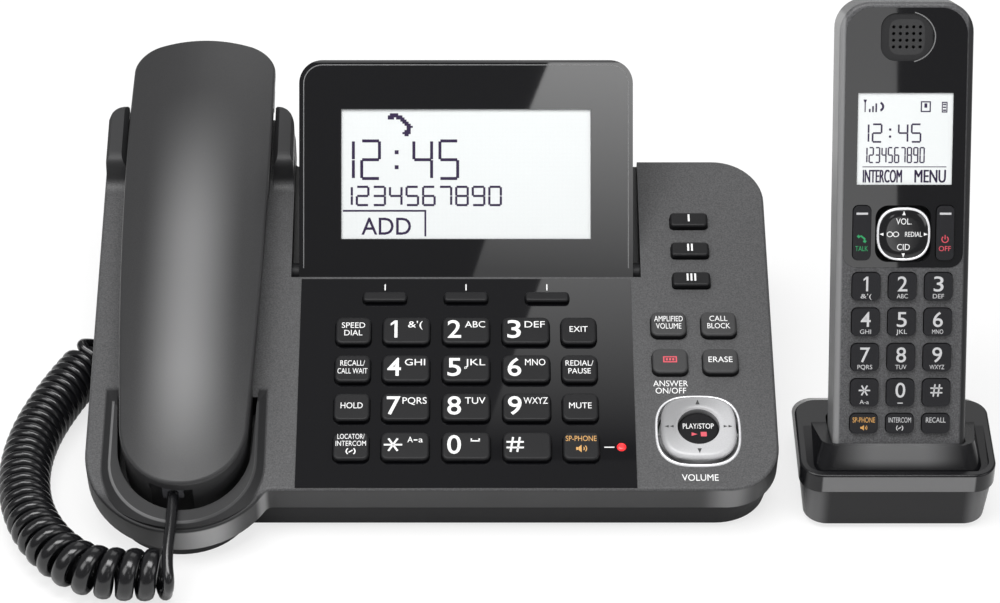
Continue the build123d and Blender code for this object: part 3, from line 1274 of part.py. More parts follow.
with BuildPart() as handset_receiver:
    with BuildSketch(HANDSET.offset(-EAR_CUP_DEPTH + HANDSET_WALL)):
        with Locations((0, RECEIVER_PLACE)):
            Circle(RECEIVER_RADIUS)
    extrude(amount=RECEIVER_HEIGHT)
save(handset_receiver, "handset_receiver")

with BuildPart() as handset_cord_plug:
    with BuildSketch(plug_plane):
        Rectangle(PLUG_WIDTH, PLUG_HEIGHT)
    extrude(amount=PLUG_LENGTH)
save(handset_cord_plug, "handset_cord_plug")

with BuildPart() as base_cord_plug:
    with BuildSketch(Plane(origin=(BASE_X, BASE_Y + BASE_PLUG_Y, 0), x_dir=(1, 0, 0), z_dir=(0, -1, 0))):
        with Locations((BASE_PLUG_X, BASE_PLUG_Z)):
            Rectangle(PLUG_WIDTH, PLUG_HEIGHT)
    extrude(amount=-PLUG_LENGTH)
save(base_cord_plug, "base_cord_plug")

# ---------------------------------------------------------------- handset cord
COIL_POINTS = [
    (-131.5, 88.0),
    (-141.5, 70.0),
    (-152.5, 36.0),
    (-151.0, 4.0),
    (-137.0, -22.0),
    (-117.0, -34.0),
    (-91.5, -31.2),
]
REAR_LEAD_POINTS = [(-131.5, 88.0), (-113.0, 108.0), (BASE_PLUG_X, BASE_PLUG_Y)]
FRONT_LEAD_RUN = 12.0
FRONT_LEAD_END = (-95.2, -33.0, 18.6)


def cord_route(points):
    """Points of a cord in the common frame and the radius of each bend."""
    route = [Vector(x + BASE_X, y + BASE_Y, z) for x, y, z in points]
    bends = []
    for before, here, after in zip(route, route[1:], route[2:]):
        run_in = here - before
        run_out = after - here
        turn = radians(run_in.get_angle(run_out))
        bends.append(CORNER_SHARE * min(run_in.length, run_out.length) / tan(turn / 2))
    return route, bends


def cord_tube(points, tube_radius):
    """Straight runs joined by tangent bends, swept with a round section."""
    route, bends = cord_route(points)
    print("cord bends:", [round(bend, 1) for bend in bends])
    with BuildPart() as tube:
        with BuildLine() as route_line:
            FilletPolyline(*route, radius=bends)
        with BuildSketch(Plane(origin=route_line.line @ 0, z_dir=route_line.line % 0)):
            Circle(tube_radius)
        sweep()
    section = tube_radius**2 * radians(180)
    length = sum(edge.length for edge in route_line.edges())
    print("tube volume / section x length:", round(tube.part.volume / (section * length), 3))
    return tube


curly_cord_coil = cord_tube([(x, y, COIL_HEIGHT) for x, y in COIL_POINTS], COIL_RADIUS)
save(curly_cord_coil, "curly_cord_coil")

plug_face = plug_plane.origin - Vector(BASE_X, BASE_Y, 0)
lead_bend = plug_face - HANDSET.y_dir * FRONT_LEAD_RUN
front_lead = cord_tube([tuple(plug_face), tuple(lead_bend), FRONT_LEAD_END], WIRE_RADIUS)
rear_lead = cord_tube([(x, y, BASE_PLUG_Z) for x, y in REAR_LEAD_POINTS], WIRE_RADIUS)
with BuildPart() as curly_cord_leads:
    add(front_lead.part)
    add(rear_lead.part)
save(curly_cord_leads, "curly_cord_leads")

# ---------------------------------------------------------------- charger
HALF_CHARGER = CHARGER_WIDTH / 2


def charger_level(height, front, rear, side_inset, corner, inset=0.0):
    """Rounded rectangle of the charger at one height."""
    half = HALF_CHARGER - side_inset - inset
    with BuildSketch(CHARGER.offset(height)) as level:
        box_area(-half, half, front + inset, rear - inset, corner - inset)
    return level.sketch


with BuildPart() as charger_tub:
    with BuildSketch(CORDLESS_END.offset(-SEAT_GAP - POCKET_WALL)):
        grow = POCKET_GAP + POCKET_WALL
        RectangleRounded(
            CORDLESS_WIDTH + 2 * grow, CORDLESS_DEPTH + 2 * grow, CORDLESS_FRONT_EDGE + grow
        )
    extrude(amount=CORDLESS_LENGTH)
    split(bisect_by=CHARGER.offset(CHARGER_TOP - MOAT_DEPTH), keep=Keep.BOTTOM)

with BuildPart() as charger_hollow:
    seam_level = charger_level(
        CHARGER_SEAM, CHARGER_FRONT, CHARGER_SEAM_REAR, 0, CHARGER_CORNER, CHARGER_WALL
    )
    deck_level = charger_level(
        CHARGER_TOP - CHARGER_DECK, CHARGER_FRONT, CHARGER_TOP_REAR, 0, CHARGER_CORNER, CHARGER_WALL
    )
    loft([seam_level, deck_level], ruled=True)

with BuildPart() as charger_moat:
    with BuildSketch(CHARGER.offset(CHARGER_TOP)):
        box_area(
            -HALF_CHARGER + MOAT_WALL,
            HALF_CHARGER - MOAT_WALL,
            CHARGER_FRONT + MOAT_WALL,
            MOAT_REAR,
            CHARGER_CORNER - MOAT_WALL,
        )
    extrude(amount=-MOAT_DEPTH)
    moat_front = CHARGER.from_local_coords((0, CHARGER_FRONT + MOAT_WALL, CHARGER_TOP - MOAT_DEPTH))
    moat_lean = radians(MOAT_SLOPE)
    split(
        bisect_by=Plane(origin=moat_front, x_dir=(1, 0, 0), z_dir=(0, -sin(moat_lean), cos(moat_lean))),
        keep=Keep.TOP,
    )

with BuildPart() as charger_cup:
    with BuildSketch(CHARGER.offset(CHARGER_TOP - MOAT_DEPTH)):
        box_area(-CUP_FOOT_HALF, CUP_FOOT_HALF, CUP_FOOT_FRONT, MOAT_REAR, CUP_CORNER)
    with BuildSketch(CHARGER.offset(CUP_TOP)):
        box_area(-CUP_TOP_HALF, CUP_TOP_HALF, CUP_TOP_FRONT, MOAT_REAR, CUP_CORNER)
    loft(ruled=True)
    cup_brow = CHARGER.from_local_coords((0, CUP_FALL_START, CUP_TOP))
    cup_lean = radians(CUP_FALL)
    split(
        bisect_by=Plane(origin=cup_brow, x_dir=(1, 0, 0), z_dir=(0, sin(cup_lean), cos(cup_lean))),
        keep=Keep.BOTTOM,
    )

with BuildPart() as charger_housing:
    seam_level = charger_level(CHARGER_SEAM, CHARGER_FRONT, CHARGER_SEAM_REAR, 0, CHARGER_CORNER)
    top_level = charger_level(CHARGER_TOP, CHARGER_FRONT, CHARGER_TOP_REAR, 0, CHARGER_CORNER)
    loft([seam_level, top_level], ruled=True)
    fillet(faces().sort_by(Axis.Z)[-1].edges(), CHARGER_EDGE)
    add(charger_hollow.part, mode=Mode.SUBTRACT)
    # moat and the raised cup inside it
    add(charger_moat.part, mode=Mode.SUBTRACT)
    add(charger_cup.part)
    add(charger_tub.part)
    # screw bosses
    with BuildSketch(CHARGER.offset(CASE_FLOOR)):
        with Locations(*CHARGER_SCREWS):
            Circle(CHARGER_BOSS_RADIUS)
    extrude(amount=CHARGER_TOP - CHARGER_DECK + CHARGER_EDGE - CASE_FLOOR)
    with BuildSketch(CHARGER.offset(CASE_FLOOR)):
        with Locations(*CHARGER_SCREWS):
            Circle(SCREW_RADIUS)
    extrude(amount=SCREW_GRIP, mode=Mode.SUBTRACT)
    # pocket of the cordless handset
    with BuildSketch(CORDLESS_END.offset(-SEAT_GAP)):
        grow = POCKET_GAP
        RectangleRounded(
            CORDLESS_WIDTH + 2 * grow, CORDLESS_DEPTH + 2 * grow, CORDLESS_FRONT_EDGE + grow
        )
    extrude(amount=CORDLESS_LENGTH, mode=Mode.SUBTRACT)
save(charger_housing, "charger_housing")

charger_rear = Plane(origin=(CHARGER_X, BASE_Y + CHARGER_FLOOR_REAR, 0), x_dir=(1, 0, 0), z_dir=(0, -1, 0))
inlet_bottom = CHARGER_INLET_DEPTH + CHARGER_WALL
with BuildPart() as charger_cavity:
    seam_level = charger_level(
        CHARGER_SEAM, CHARGER_FRONT, CHARGER_SEAM_REAR, 0, CHARGER_CORNER, CHARGER_REVEAL + CHARGER_WALL
    )
    floor_level = charger_level(
        CASE_FLOOR,
        CHARGER_FLOOR_FRONT,
        CHARGER_FLOOR_REAR,
        CHARGER_FLOOR_INSET,
        CHARGER_FLOOR_CORNER,
        CHARGER_WALL,
    )
    loft([floor_level, seam_level], ruled=True)
    with BuildSketch(charger_rear):
        with Locations((0, CHARGER_INLET_HEIGHT)):
            Rectangle(CHARGER_INLET_BODY, CHARGER_INLET_BODY)
    extrude(amount=2 * CHARGER_INLET_DEPTH, mode=Mode.SUBTRACT)

with BuildPart() as charger_bottom:
    seam_level = charger_level(
        CHARGER_SEAM, CHARGER_FRONT, CHARGER_SEAM_REAR, 0, CHARGER_CORNER, CHARGER_REVEAL
    )
    floor_level = charger_level(
        FOOT_HEIGHT, CHARGER_FLOOR_FRONT, CHARGER_FLOOR_REAR, CHARGER_FLOOR_INSET, CHARGER_FLOOR_CORNER
    )
    loft([floor_level, seam_level], ruled=True)
    add(charger_cavity.part, mode=Mode.SUBTRACT)
    with BuildSketch(CHARGER.offset(FOOT_HEIGHT)):
        with Locations(*CHARGER_SCREWS):
            Circle(SCREW_RADIUS)
    extrude(amount=CASE_WALL, mode=Mode.SUBTRACT)
    with BuildSketch(CHARGER.offset(FOOT_HEIGHT)):
        with Locations(*CHARGER_SCREWS):
            Circle(HEAD_RADIUS)
    extrude(amount=HEAD_HEIGHT, mode=Mode.SUBTRACT)
    # power inlet with its pin
    with BuildSketch(charger_rear):
        with Locations((0, CHARGER_INLET_HEIGHT)):
            Circle(CHARGER_INLET_BORE)
    extrude(amount=inlet_bottom + CHARGER_WALL, mode=Mode.SUBTRACT)
    with BuildSketch(charger_rear.offset(inlet_bottom - CHARGER_WALL)):
        with Locations((0, CHARGER_INLET_HEIGHT)):
            Circle(POWER_PIN)
    extrude(amount=2 * CHARGER_WALL)
save(charger_bottom, "charger_bottom")

# ---------------------------------------------------------------- cordless handset
HALF_CORDLESS = CORDLESS_WIDTH / 2


def cordless_area(inset=0.0):
    """Front view of the cordless handset."""
    box_area(-HALF_CORDLESS + inset, HALF_CORDLESS - inset, inset, CORDLESS_LENGTH - inset)
    for side in (-HALF_CORDLESS + inset, HALF_CORDLESS - inset):
        top = vertices().sort_by_distance((side, CORDLESS_LENGTH - inset, 0))[0]
        fillet(top, CORDLESS_TOP_CORNER - inset)
        foot = vertices().sort_by_distance((side, inset, 0))[0]
        fillet(foot, CORDLESS_FOOT_CORNER - inset)


def panel_area():
    """Outline of the glossy panel of the cordless handset."""
    half = PANEL_WIDTH / 2
    box_area(-half, half, PANEL_FOOT, PANEL_TOP)
    for side in (-half, half):
        fillet(vertices().sort_by_distance((side, PANEL_TOP, 0))[0], PANEL_TOP_CORNER)
        fillet(vertices().sort_by_distance((side, PANEL_FOOT, 0))[0], PANEL_FOOT_CORNER)


def mat_keys(grow):
    """Number keys, small keys and call keys of the cordless keypad."""
    for row in range(4):
        with Locations((0, MAT_FIRST_ROW - row * MAT_ROW_PITCH)):
            with GridLocations(MAT_PITCH, 0, 3, 1):
                RectangleRounded(MAT_KEY + 2 * grow, MAT_KEY + 2 * grow, MAT_CORNER + grow)
    with Locations((0, MAT_FOOT_ROW)):
        with GridLocations(MAT_PITCH, 0, 3, 1):
            RectangleRounded(MAT_KEY + 2 * grow, MAT_FOOT_KEY + 2 * grow, MAT_CORNER + grow)
    with Locations((-CALL_KEY_OFFSET, CALL_KEY_ROW), (CALL_KEY_OFFSET, CALL_KEY_ROW)):
        RectangleRounded(CALL_KEY_WIDTH + 2 * grow, CALL_KEY_HEIGHT + 2 * grow, MAT_CORNER + grow)


def rocker_area(grow):
    """Cap of the cordless navigator."""
    with Locations((0, ROCKER_ROW)):
        RectangleRounded(ROCKER_WIDTH + 2 * grow, ROCKER_HEIGHT + 2 * grow, ROCKER_CORNER + grow)


def screen_area(grow=0.0):
    """Glass of the cordless display."""
    with Locations((0, SCREEN_CENTRE)):
        Rectangle(SCREEN_WIDTH + 2 * grow, SCREEN_HEIGHT + 2 * grow)


def earpiece_holes():
    """Sound holes of the earpiece."""
    with Locations((0, EARPIECE_CENTRE)):
        with GridLocations(EARPIECE_PITCH, EARPIECE_PITCH, EARPIECE_COLUMNS, EARPIECE_ROWS):
            Circle(EARPIECE_HOLE)


with BuildPart() as cordless_front_case:
    with BuildSketch(CORDLESS):
        cordless_area()
    extrude(amount=-CORDLESS_SEAM)
    fillet(faces().sort_by(CORDLESS_AXIS)[-1].edges(), CORDLESS_FRONT_EDGE)
    with BuildSketch(CORDLESS.offset(-CORDLESS_WALL)):
        cordless_area(CORDLESS_WALL)
    extrude(amount=CORDLESS_WALL - CORDLESS_SEAM, mode=Mode.SUBTRACT)
    with BuildSketch(CORDLESS):
        panel_area()
    extrude(amount=-PANEL_SINK, mode=Mode.SUBTRACT)
    with BuildSketch(CORDLESS):
        mat_keys(MAT_GAP)
        rocker_area(MAT_GAP)
        screen_area()
        earpiece_holes()
    extrude(amount=-CORDLESS_WALL, mode=Mode.SUBTRACT)
save(cordless_front_case, "cordless_front_case")

with BuildPart() as cordless_back_case:
    with BuildSketch(CORDLESS.offset(-CORDLESS_SEAM)):
        cordless_area()
    extrude(amount=CORDLESS_SEAM - CORDLESS_DEPTH)
    fillet(faces().sort_by(CORDLESS_AXIS)[0].edges(), CORDLESS_BACK_EDGE)
    with BuildSketch(CORDLESS.offset(-CORDLESS_SEAM)):
        cordless_area(CORDLESS_WALL)
    extrude(amount=CORDLESS_SEAM - CORDLESS_DEPTH + CORDLESS_WALL, mode=Mode.SUBTRACT)
save(cordless_back_case, "cordless_back_case")

with BuildPart() as cordless_faceplate:
    with BuildSketch(CORDLESS.offset(-PANEL_SINK)):
        panel_area()
    extrude(amount=PANEL_SINK + PANEL_PROUD)
    with BuildSketch(CORDLESS.offset(-PANEL_SINK)):
        mat_keys(MAT_GAP)
        rocker_area(MAT_GAP)
        screen_area()
        earpiece_holes()
    extrude(amount=PANEL_SINK + PANEL_PROUD, mode=Mode.SUBTRACT)
    # shallow recess around the earpiece
    with BuildSketch(CORDLESS.offset(PANEL_PROUD)):
        with Locations((0, EARPIECE_CENTRE)):
            RectangleRounded(EARPIECE_WIDTH, EARPIECE_HEIGHT, EARPIECE_CORNER)
    extrude(amount=-EARPIECE_SINK, mode=Mode.SUBTRACT)
save(cordless_faceplate, "cordless_faceplate")

with BuildPart() as cordless_lcd:
    with BuildSketch(CORDLESS.offset(-CORDLESS_WALL)):
        screen_area(SCREEN_FLANGE)
    extrude(amount=CORDLESS_WALL - SCREEN_BACK)
    with BuildSketch(CORDLESS.offset(-CORDLESS_WALL)):
        screen_area()
    extrude(amount=CORDLESS_WALL - SCREEN_SINK)
save(cordless_lcd, "cordless_lcd")

with BuildPart() as cordless_keypad:
    with BuildSketch(CORDLESS.offset(-CORDLESS_WALL)):
        box_area(
            -HALF_CORDLESS + CORDLESS_WALL + MAT_MARGIN,
            HALF_CORDLESS - CORDLESS_WALL - MAT_MARGIN,
            MAT_FOOT_ROW - MAT_FOOT_KEY / 2 - MAT_MARGIN,
            CALL_KEY_ROW + CALL_KEY_HEIGHT / 2 + MAT_MARGIN,
        )
    extrude(amount=-MAT_THICKNESS)
    with BuildSketch(CORDLESS.offset(-CORDLESS_WALL)):
        rocker_area(ROCKER_FLANGE + MAT_GAP)
    extrude(amount=-MAT_THICKNESS, mode=Mode.SUBTRACT)
    with BuildSketch(CORDLESS.offset(-CORDLESS_WALL)):
        mat_keys(0)
    extrude(amount=CORDLESS_WALL + MAT_RISE)
save(cordless_keypad, "cordless_keypad")

with BuildPart() as cordless_navigator_key:
    with BuildSketch(CORDLESS.offset(-CORDLESS_WALL - FLANGE_GAP)):
        rocker_area(ROCKER_FLANGE)
    extrude(amount=-ROCKER_FLANGE)
    with BuildSketch(CORDLESS.offset(-CORDLESS_WALL - FLANGE_GAP)):
        rocker_area(0)
    extrude(amount=CORDLESS_WALL + FLANGE_GAP + ROCKER_RISE)
    fillet(faces().sort_by(CORDLESS_AXIS)[-1].edges(), ROCKER_EDGE)
save(cordless_navigator_key, "cordless_navigator_key")
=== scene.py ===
import json
import math

import bmesh
import bpy
import numpy as np
from mathutils import Matrix, Vector


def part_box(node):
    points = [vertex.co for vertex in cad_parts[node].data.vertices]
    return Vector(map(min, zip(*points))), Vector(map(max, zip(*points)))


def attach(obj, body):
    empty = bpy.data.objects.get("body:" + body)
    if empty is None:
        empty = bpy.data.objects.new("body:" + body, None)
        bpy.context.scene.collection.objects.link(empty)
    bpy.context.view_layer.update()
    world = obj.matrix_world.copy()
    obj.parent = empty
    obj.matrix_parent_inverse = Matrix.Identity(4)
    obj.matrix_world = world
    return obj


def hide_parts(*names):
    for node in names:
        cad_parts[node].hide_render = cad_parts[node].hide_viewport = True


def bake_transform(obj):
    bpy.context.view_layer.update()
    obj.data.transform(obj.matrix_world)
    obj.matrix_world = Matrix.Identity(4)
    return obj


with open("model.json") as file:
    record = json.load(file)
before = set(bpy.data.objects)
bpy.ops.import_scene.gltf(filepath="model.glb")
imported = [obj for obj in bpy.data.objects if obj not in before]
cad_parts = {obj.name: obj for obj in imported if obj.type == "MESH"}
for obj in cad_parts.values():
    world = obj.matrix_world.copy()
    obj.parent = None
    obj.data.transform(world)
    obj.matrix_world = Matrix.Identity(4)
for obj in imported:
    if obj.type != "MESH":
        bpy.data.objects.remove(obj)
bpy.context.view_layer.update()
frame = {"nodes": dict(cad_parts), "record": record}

nodes = frame["nodes"]
scene = bpy.context.scene
MM = 0.001

# ---------------------------------------------------------------- planes shared with the CAD model
BASE_WIDTH = 256.0
CHARGER_GAP = 7.2
CHARGER_WIDTH = 72.0
SET_WIDTH = BASE_WIDTH + CHARGER_GAP + CHARGER_WIDTH
SET_DEPTH = 221.87
MOUTH_REACH = 18.5
SLOPE = math.radians(14.0)
BASE_X = (BASE_WIDTH - SET_WIDTH) / 2
BASE_Y = MOUTH_REACH * math.cos(SLOPE) - SET_DEPTH / 2
CHARGER_X = (SET_WIDTH - CHARGER_WIDTH) / 2


class Sheet:
    """A flat working plane: x along +X, y up its slope, z along its outward normal."""

    def __init__(self, origin, tilt):
        self.origin = Vector(origin)
        self.x = Vector((1, 0, 0))
        self.y = Vector((0, math.cos(tilt), math.sin(tilt)))
        self.z = Vector((0, -math.sin(tilt), math.cos(tilt)))

    def at(self, x, y, z=0.0):
        return self.origin + (self.x * x + self.y * y + self.z * z)

    def of(self, node):
        """Place of a node's centre on the sheet, in millimetres."""
        low, high = (Vector(shade_diagonal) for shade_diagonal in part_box(node))
        offset = (low + high) / 2 / MM - self.origin
        return offset.dot(self.x), offset.dot(self.y)


TOP = Sheet((BASE_X, BASE_Y, 22.0), SLOPE)
HANDSET = Sheet(TOP.at(-91.0, -6.5, 22.0), SLOPE)
DISPLAY_TILT = math.radians(50.6)
DISPLAY = Sheet(TOP.at(12.5, 104.5, -7.0), DISPLAY_TILT)
CORDLESS = Sheet((CHARGER_X, BASE_Y + 8.0, 24.3), math.radians(60.0))
CHARGER = Sheet((CHARGER_X, BASE_Y, 0.0), 0.0)

# ---------------------------------------------------------------- camera
camera_data = bpy.data.cameras.new("camera")
camera = bpy.data.objects.new("camera", camera_data)
scene.collection.objects.link(camera)
camera_data.sensor_width = 36.0
camera_data.lens = 129.1
camera_data.shift_x = 0.034
camera_data.clip_end = 20.0
camera.location = Vector((12.491 + BASE_X, -969.779 + BASE_Y, 907.810)) * MM
camera.rotation_euler = (DISPLAY_TILT, 0.0, 0.0)
scene.camera = camera
scene.view_settings.view_transform = "Standard"

# ---------------------------------------------------------------- handset cord
COIL_RADIUS = 9.7
WIRE = 2.1
COIL_POINTS = [
    (-131.5, 88.0, 10.0),
    (-141.5, 70.0, 10.0),
    (-152.5, 36.0, 10.0),
    (-151.0, 4.0, 10.0),
    (-137.0, -22.0, 10.0),
    (-117.0, -34.0, 10.0),
    (-91.5, -31.2, 10.0),
]
CLOSED_PITCH = 4.0
OPEN_PITCH = 7.2
OPEN_FROM = 74.0
OPEN_FULL = 40.0
TURN_STEPS = 28
END_ANGLE = math.radians(-12.0)
FILL = 0.455
SOCKET = (-113.0, 117.0, 10.0)


def nurbs_line(points, resolution):
    """Points of the smooth line that a NURBS spline draws for these control points, in millimetres."""
    data = bpy.data.curves.new("route", "CURVE")
    data.dimensions = "3D"
    data.resolution_u = resolution
    spline = data.splines.new("NURBS")
    spline.points.add(len(points) - 1)
    for point, place in zip(spline.points, points):
        point.co = (*place, 1.0)
    spline.order_u = 3
    spline.use_endpoint_u = True
    holder = bpy.data.objects.new("route", data)
    scene.collection.objects.link(holder)
    mesh = bpy.data.meshes.new_from_object(holder)
    line = [vertex.co.copy() for vertex in mesh.vertices]
    bpy.data.objects.remove(holder)
    bpy.data.curves.remove(data)
    bpy.data.meshes.remove(mesh)
    return line


def lengths_along(line):
    """Distance from the start of a line to each of its points."""
    steps = [0.0]
    for before, after in zip(line, line[1:]):
        steps.append(steps[-1] + (after - before).length)
    return steps


def point_along(line, steps, place):
    """Point of a line at a distance from its start."""
    index = min(max(int(np.searchsorted(steps, place)) - 1, 0), len(line) - 2)
    span = steps[index + 1] - steps[index]
    share = (place - steps[index]) / span if span else 0.0
    return line[index].lerp(line[index + 1], min(max(share, 0.0), 1.0))


def desk_point(place):
    """Place above the desk, measured from the front centre of the corded base."""
    return (place[0] + BASE_X, place[1] + BASE_Y, place[2])


def cord_path():
    """Coil turns as one line of points, each with the coil's direction and the turn's half width."""
    line = nurbs_line([desk_point(place) for place in COIL_POINTS], 24)
    steps = lengths_along(line)
    total = steps[-1]
    radius = COIL_RADIUS - WIRE
    places = [(2 * WIRE, CLOSED_PITCH)]
    while places[-1][0] < total - 2 * WIRE:
        share = min(max((OPEN_FROM - (total - places[-1][0])) / (OPEN_FROM - OPEN_FULL), 0.0), 1.0)
        pitch = CLOSED_PITCH + (OPEN_PITCH - CLOSED_PITCH) * share
        places.append((places[-1][0] + pitch / TURN_STEPS, pitch))
    path = []
    for number, (place, pitch) in enumerate(places):
        here = point_along(line, steps, place)
        ahead = point_along(line, steps, min(place + 2.0, total))
        behind = point_along(line, steps, max(place - 2.0, 0.0))
        along = (ahead - behind).normalized()
        side = along.cross(Vector((0, 0, 1))).normalized()
        angle = END_ANGLE + (number - len(places) + 1) * 2 * math.pi / TURN_STEPS
        point = here + (side * math.cos(angle) + Vector((0, 0, 1)) * math.sin(angle)) * radius
        ends = min(number, len(places) - 1 - number) / TURN_STEPS
        path.append((point, along, WIRE + (pitch * FILL - WIRE) * min(ends * 1.6, 1.0)))
    return path


turns = cord_path()
coil = [point for point, along, half in turns]
rear_lead = nurbs_line(
    [desk_point(SOCKET), desk_point((-113.0, 107.0, 10.0)), desk_point((-124.0, 96.0, 9.0))]
    + [tuple(coil[0] + (coil[0] - coil[3]) * 1.2), tuple(coil[0])],
    16,
)
plug_face = HANDSET.at(-3.0, 1.5, -16.5)
front_lead = nurbs_line(
    [tuple(coil[-1]), tuple(coil[-1] + (coil[-1] - coil[-4]) * 1.4)]
    + [tuple(HANDSET.at(-4.2, -26.3, -17.3)), tuple(HANDSET.at(-3.0, -10.5, -16.5)), tuple(plug_face)],
    16,
)
cord_line = rear_lead[:-1] + coil + front_lead[1:]
widths = [None] * (len(rear_lead) - 1) + [(along, half) for point, along, half in turns]
widths += [None] * (len(front_lead) - 1)


def add_piece(name, mesh, look):
    """Object of a finished mesh, with its look."""
    mesh.materials.append(look)
    piece = bpy.data.objects.new(name, mesh)
    scene.collection.objects.link(piece)
    return piece


def mesh_piece(name, work, look, body):
    """Piece of an edited mesh that rides on a body."""
    mesh = bpy.data.meshes.new(name)
    work.to_mesh(mesh)
    work.free()
    piece = add_piece(name, mesh, look)
    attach(piece, body)
    return piece


def join_rings(work, rings):
    """Smooth faces between each ring of corners and the next."""
    for ring, following in zip(rings, rings[1:]):
        for side in range(len(ring)):
            after = (side + 1) % len(ring)
            work.faces.new((ring[side], ring[after], following[after], following[side])).smooth = True


def tube(name, line, radius, widths, look, sides=12):
    """Mesh tube along a line of points in millimetres, widened along the coil where it is coiled."""
    mesh = bpy.data.meshes.new(name)
    work = bmesh.new()
    rings = []
    normal = None
    for index, point in enumerate(line):
        ahead = line[min(index + 1, len(line) - 1)]
        behind = line[max(index - 1, 0)]
        along = (ahead - behind).normalized()
        if normal is None:
            normal = along.orthogonal().normalized()
        normal = (normal - along * normal.dot(along)).normalized()
        other = along.cross(normal)
        ring = []
        for side in range(sides):
            angle = 2 * math.pi * side / sides
            offset = (normal * math.cos(angle) + other * math.sin(angle)) * radius
            if widths[index]:
                axis, half = widths[index]
                offset += axis * offset.dot(axis) * (half / radius - 1)
            ring.append(work.verts.new((point + offset) * MM))
        rings.append(ring)
    join_rings(work, rings)
    for cap in (rings[0][::-1], rings[-1]):
        work.faces.new(cap).smooth = True
    work.to_mesh(mesh)
    work.free()
    return add_piece(name, mesh, look)


# ---------------------------------------------------------------- materials
def material(name):
    """New material with its node tree and its shader."""
    made = bpy.data.materials.new(name)
    made.use_nodes = True
    tree = made.node_tree
    shader = tree.nodes["Principled BSDF"]
    return made, tree, shader


def noise(tree, size, detail=3.0):
    """Noise of a grain size in millimetres, fixed to the object."""
    place = tree.nodes.new("ShaderNodeTexCoord")
    texture = tree.nodes.new("ShaderNodeTexNoise")
    texture.inputs["Scale"].default_value = 1000.0 / size
    texture.inputs["Detail"].default_value = detail
    tree.links.new(place.outputs["Object"], texture.inputs["Vector"])
    return texture.outputs["Fac"]


def plastic(name, colour, rough, speckle=0.0, size=0.35, bump=0.0, specular=0.5, coat=0.0):
    """Moulded plastic: speckled colour, fine moulded grain and uneven roughness."""
    made, tree, shader = material(name)
    tones = tree.nodes.new("ShaderNodeValToRGB")
    tones.name = "tones"
    tones.color_ramp.elements[0].position = 0.35
    tones.color_ramp.elements[1].position = 0.68
    tones.color_ramp.elements[0].color = (*[c * (1 - speckle) for c in colour], 1)
    tones.color_ramp.elements[1].color = (*[min(c * (1 + speckle), 1.0) for c in colour], 1)
    tree.links.new(noise(tree, size), tones.inputs["Fac"])
    tree.links.new(tones.outputs["Color"], shader.inputs["Base Color"])
    spread = tree.nodes.new("ShaderNodeMapRange")
    spread.name = "spread"
    uneven = min(0.04, 0.4 * rough)
    spread.inputs["To Min"].default_value = rough - uneven
    spread.inputs["To Max"].default_value = rough + uneven
    tree.links.new(noise(tree, 11.0, 4.0), spread.inputs["Value"])
    tree.links.new(spread.outputs["Result"], shader.inputs["Roughness"])
    shader.inputs["Specular IOR Level"].default_value = specular
    shader.inputs["Coat Weight"].default_value = coat
    if bump > 0:
        relief = tree.nodes.new("ShaderNodeBump")
        relief.name = "relief"
        relief.inputs["Strength"].default_value = bump
        relief.inputs["Distance"].default_value = 0.0001
        tree.links.new(noise(tree, size, 2.0), relief.inputs["Height"])
        tree.links.new(relief.outputs["Normal"], shader.inputs["Normal"])
    return made


def math_node(tree, operation, first, second=None, third=None):
    """Output of a calculation with numbers and other outputs."""
    node = tree.nodes.new("ShaderNodeMath")
    node.operation = operation
    for socket, value in zip(node.inputs, (first, second, third)):
        if value is None:
            continue
        if isinstance(value, (int, float)):
            socket.default_value = value
        else:
            tree.links.new(value, socket)
    return node.outputs[0]


def along_axis(tree, sheet, axis):
    """Distance along one axis of a sheet, in millimetres, for each point of the object."""
    place = tree.nodes.new("ShaderNodeTexCoord")
    dot = tree.nodes.new("ShaderNodeVectorMath")
    dot.operation = "DOT_PRODUCT"
    dot.inputs[1].default_value = axis
    tree.links.new(place.outputs["Object"], dot.inputs[0])
    return math_node(tree, "MULTIPLY_ADD", dot.outputs["Value"], 1000.0, -sheet.origin.dot(axis))


def ramp(tree, value, low, high):
    """0 below low, 1 above high, smooth between."""
    node = tree.nodes.new("ShaderNodeMapRange")
    node.interpolation_type = "SMOOTHSTEP"
    node.inputs["From Min"].default_value = low
    node.inputs["From Max"].default_value = high
    tree.links.new(value, node.inputs["Value"])
    return node.outputs["Result"]


def falling(tree, value, low, high):
    """1 below low, 0 above high, smooth between."""
    return math_node(tree, "SUBTRACT", 1.0, ramp(tree, value, low, high))


def band(tree, value, low, rise, fall, high):
    """0 outside low and high, 1 between rise and fall."""
    return both(tree, ramp(tree, value, low, rise), falling(tree, value, fall, high))


def both(tree, first, second):
    """Where both masks hold."""
    return math_node(tree, "MULTIPLY", first, second)


def tint(made, mask, colour):
    """Another colour where the mask is 1."""
    tree = made.node_tree
    shader = tree.nodes["Principled BSDF"]
    before = shader.inputs["Base Color"].links[0].from_socket
    mix = tree.nodes.new("ShaderNodeMix")
    mix.data_type = "RGBA"
    tree.links.new(mask, mix.inputs["Factor"])
    tree.links.new(before, mix.inputs[6])
    mix.inputs[7].default_value = (*colour, 1)
    tree.links.new(mix.outputs[2], shader.inputs["Base Color"])


def shaded_key_plastic(name, colour, side, rough, sheet, height, bump=0.12):
    """Key cap whose sides below its top face get a darker colour: painted shade."""
    made = plastic(name, colour, rough, 0.1, 0.35, bump, 0.2)
    tree = made.node_tree
    level = along_axis(tree, sheet, sheet.z)
    # painted shade: darker colour on the key's sides, below its top face
    tint(made, falling(tree, level, height - 0.9, height - 0.25), side)
    return made


def metal(name, colour, rough, brush):
    """Finely brushed metal."""
    made = plastic(name, colour, rough, 0.06, brush, 0.08, 0.5)
    made.node_tree.nodes["Principled BSDF"].inputs["Metallic"].default_value = 1.0
    return made


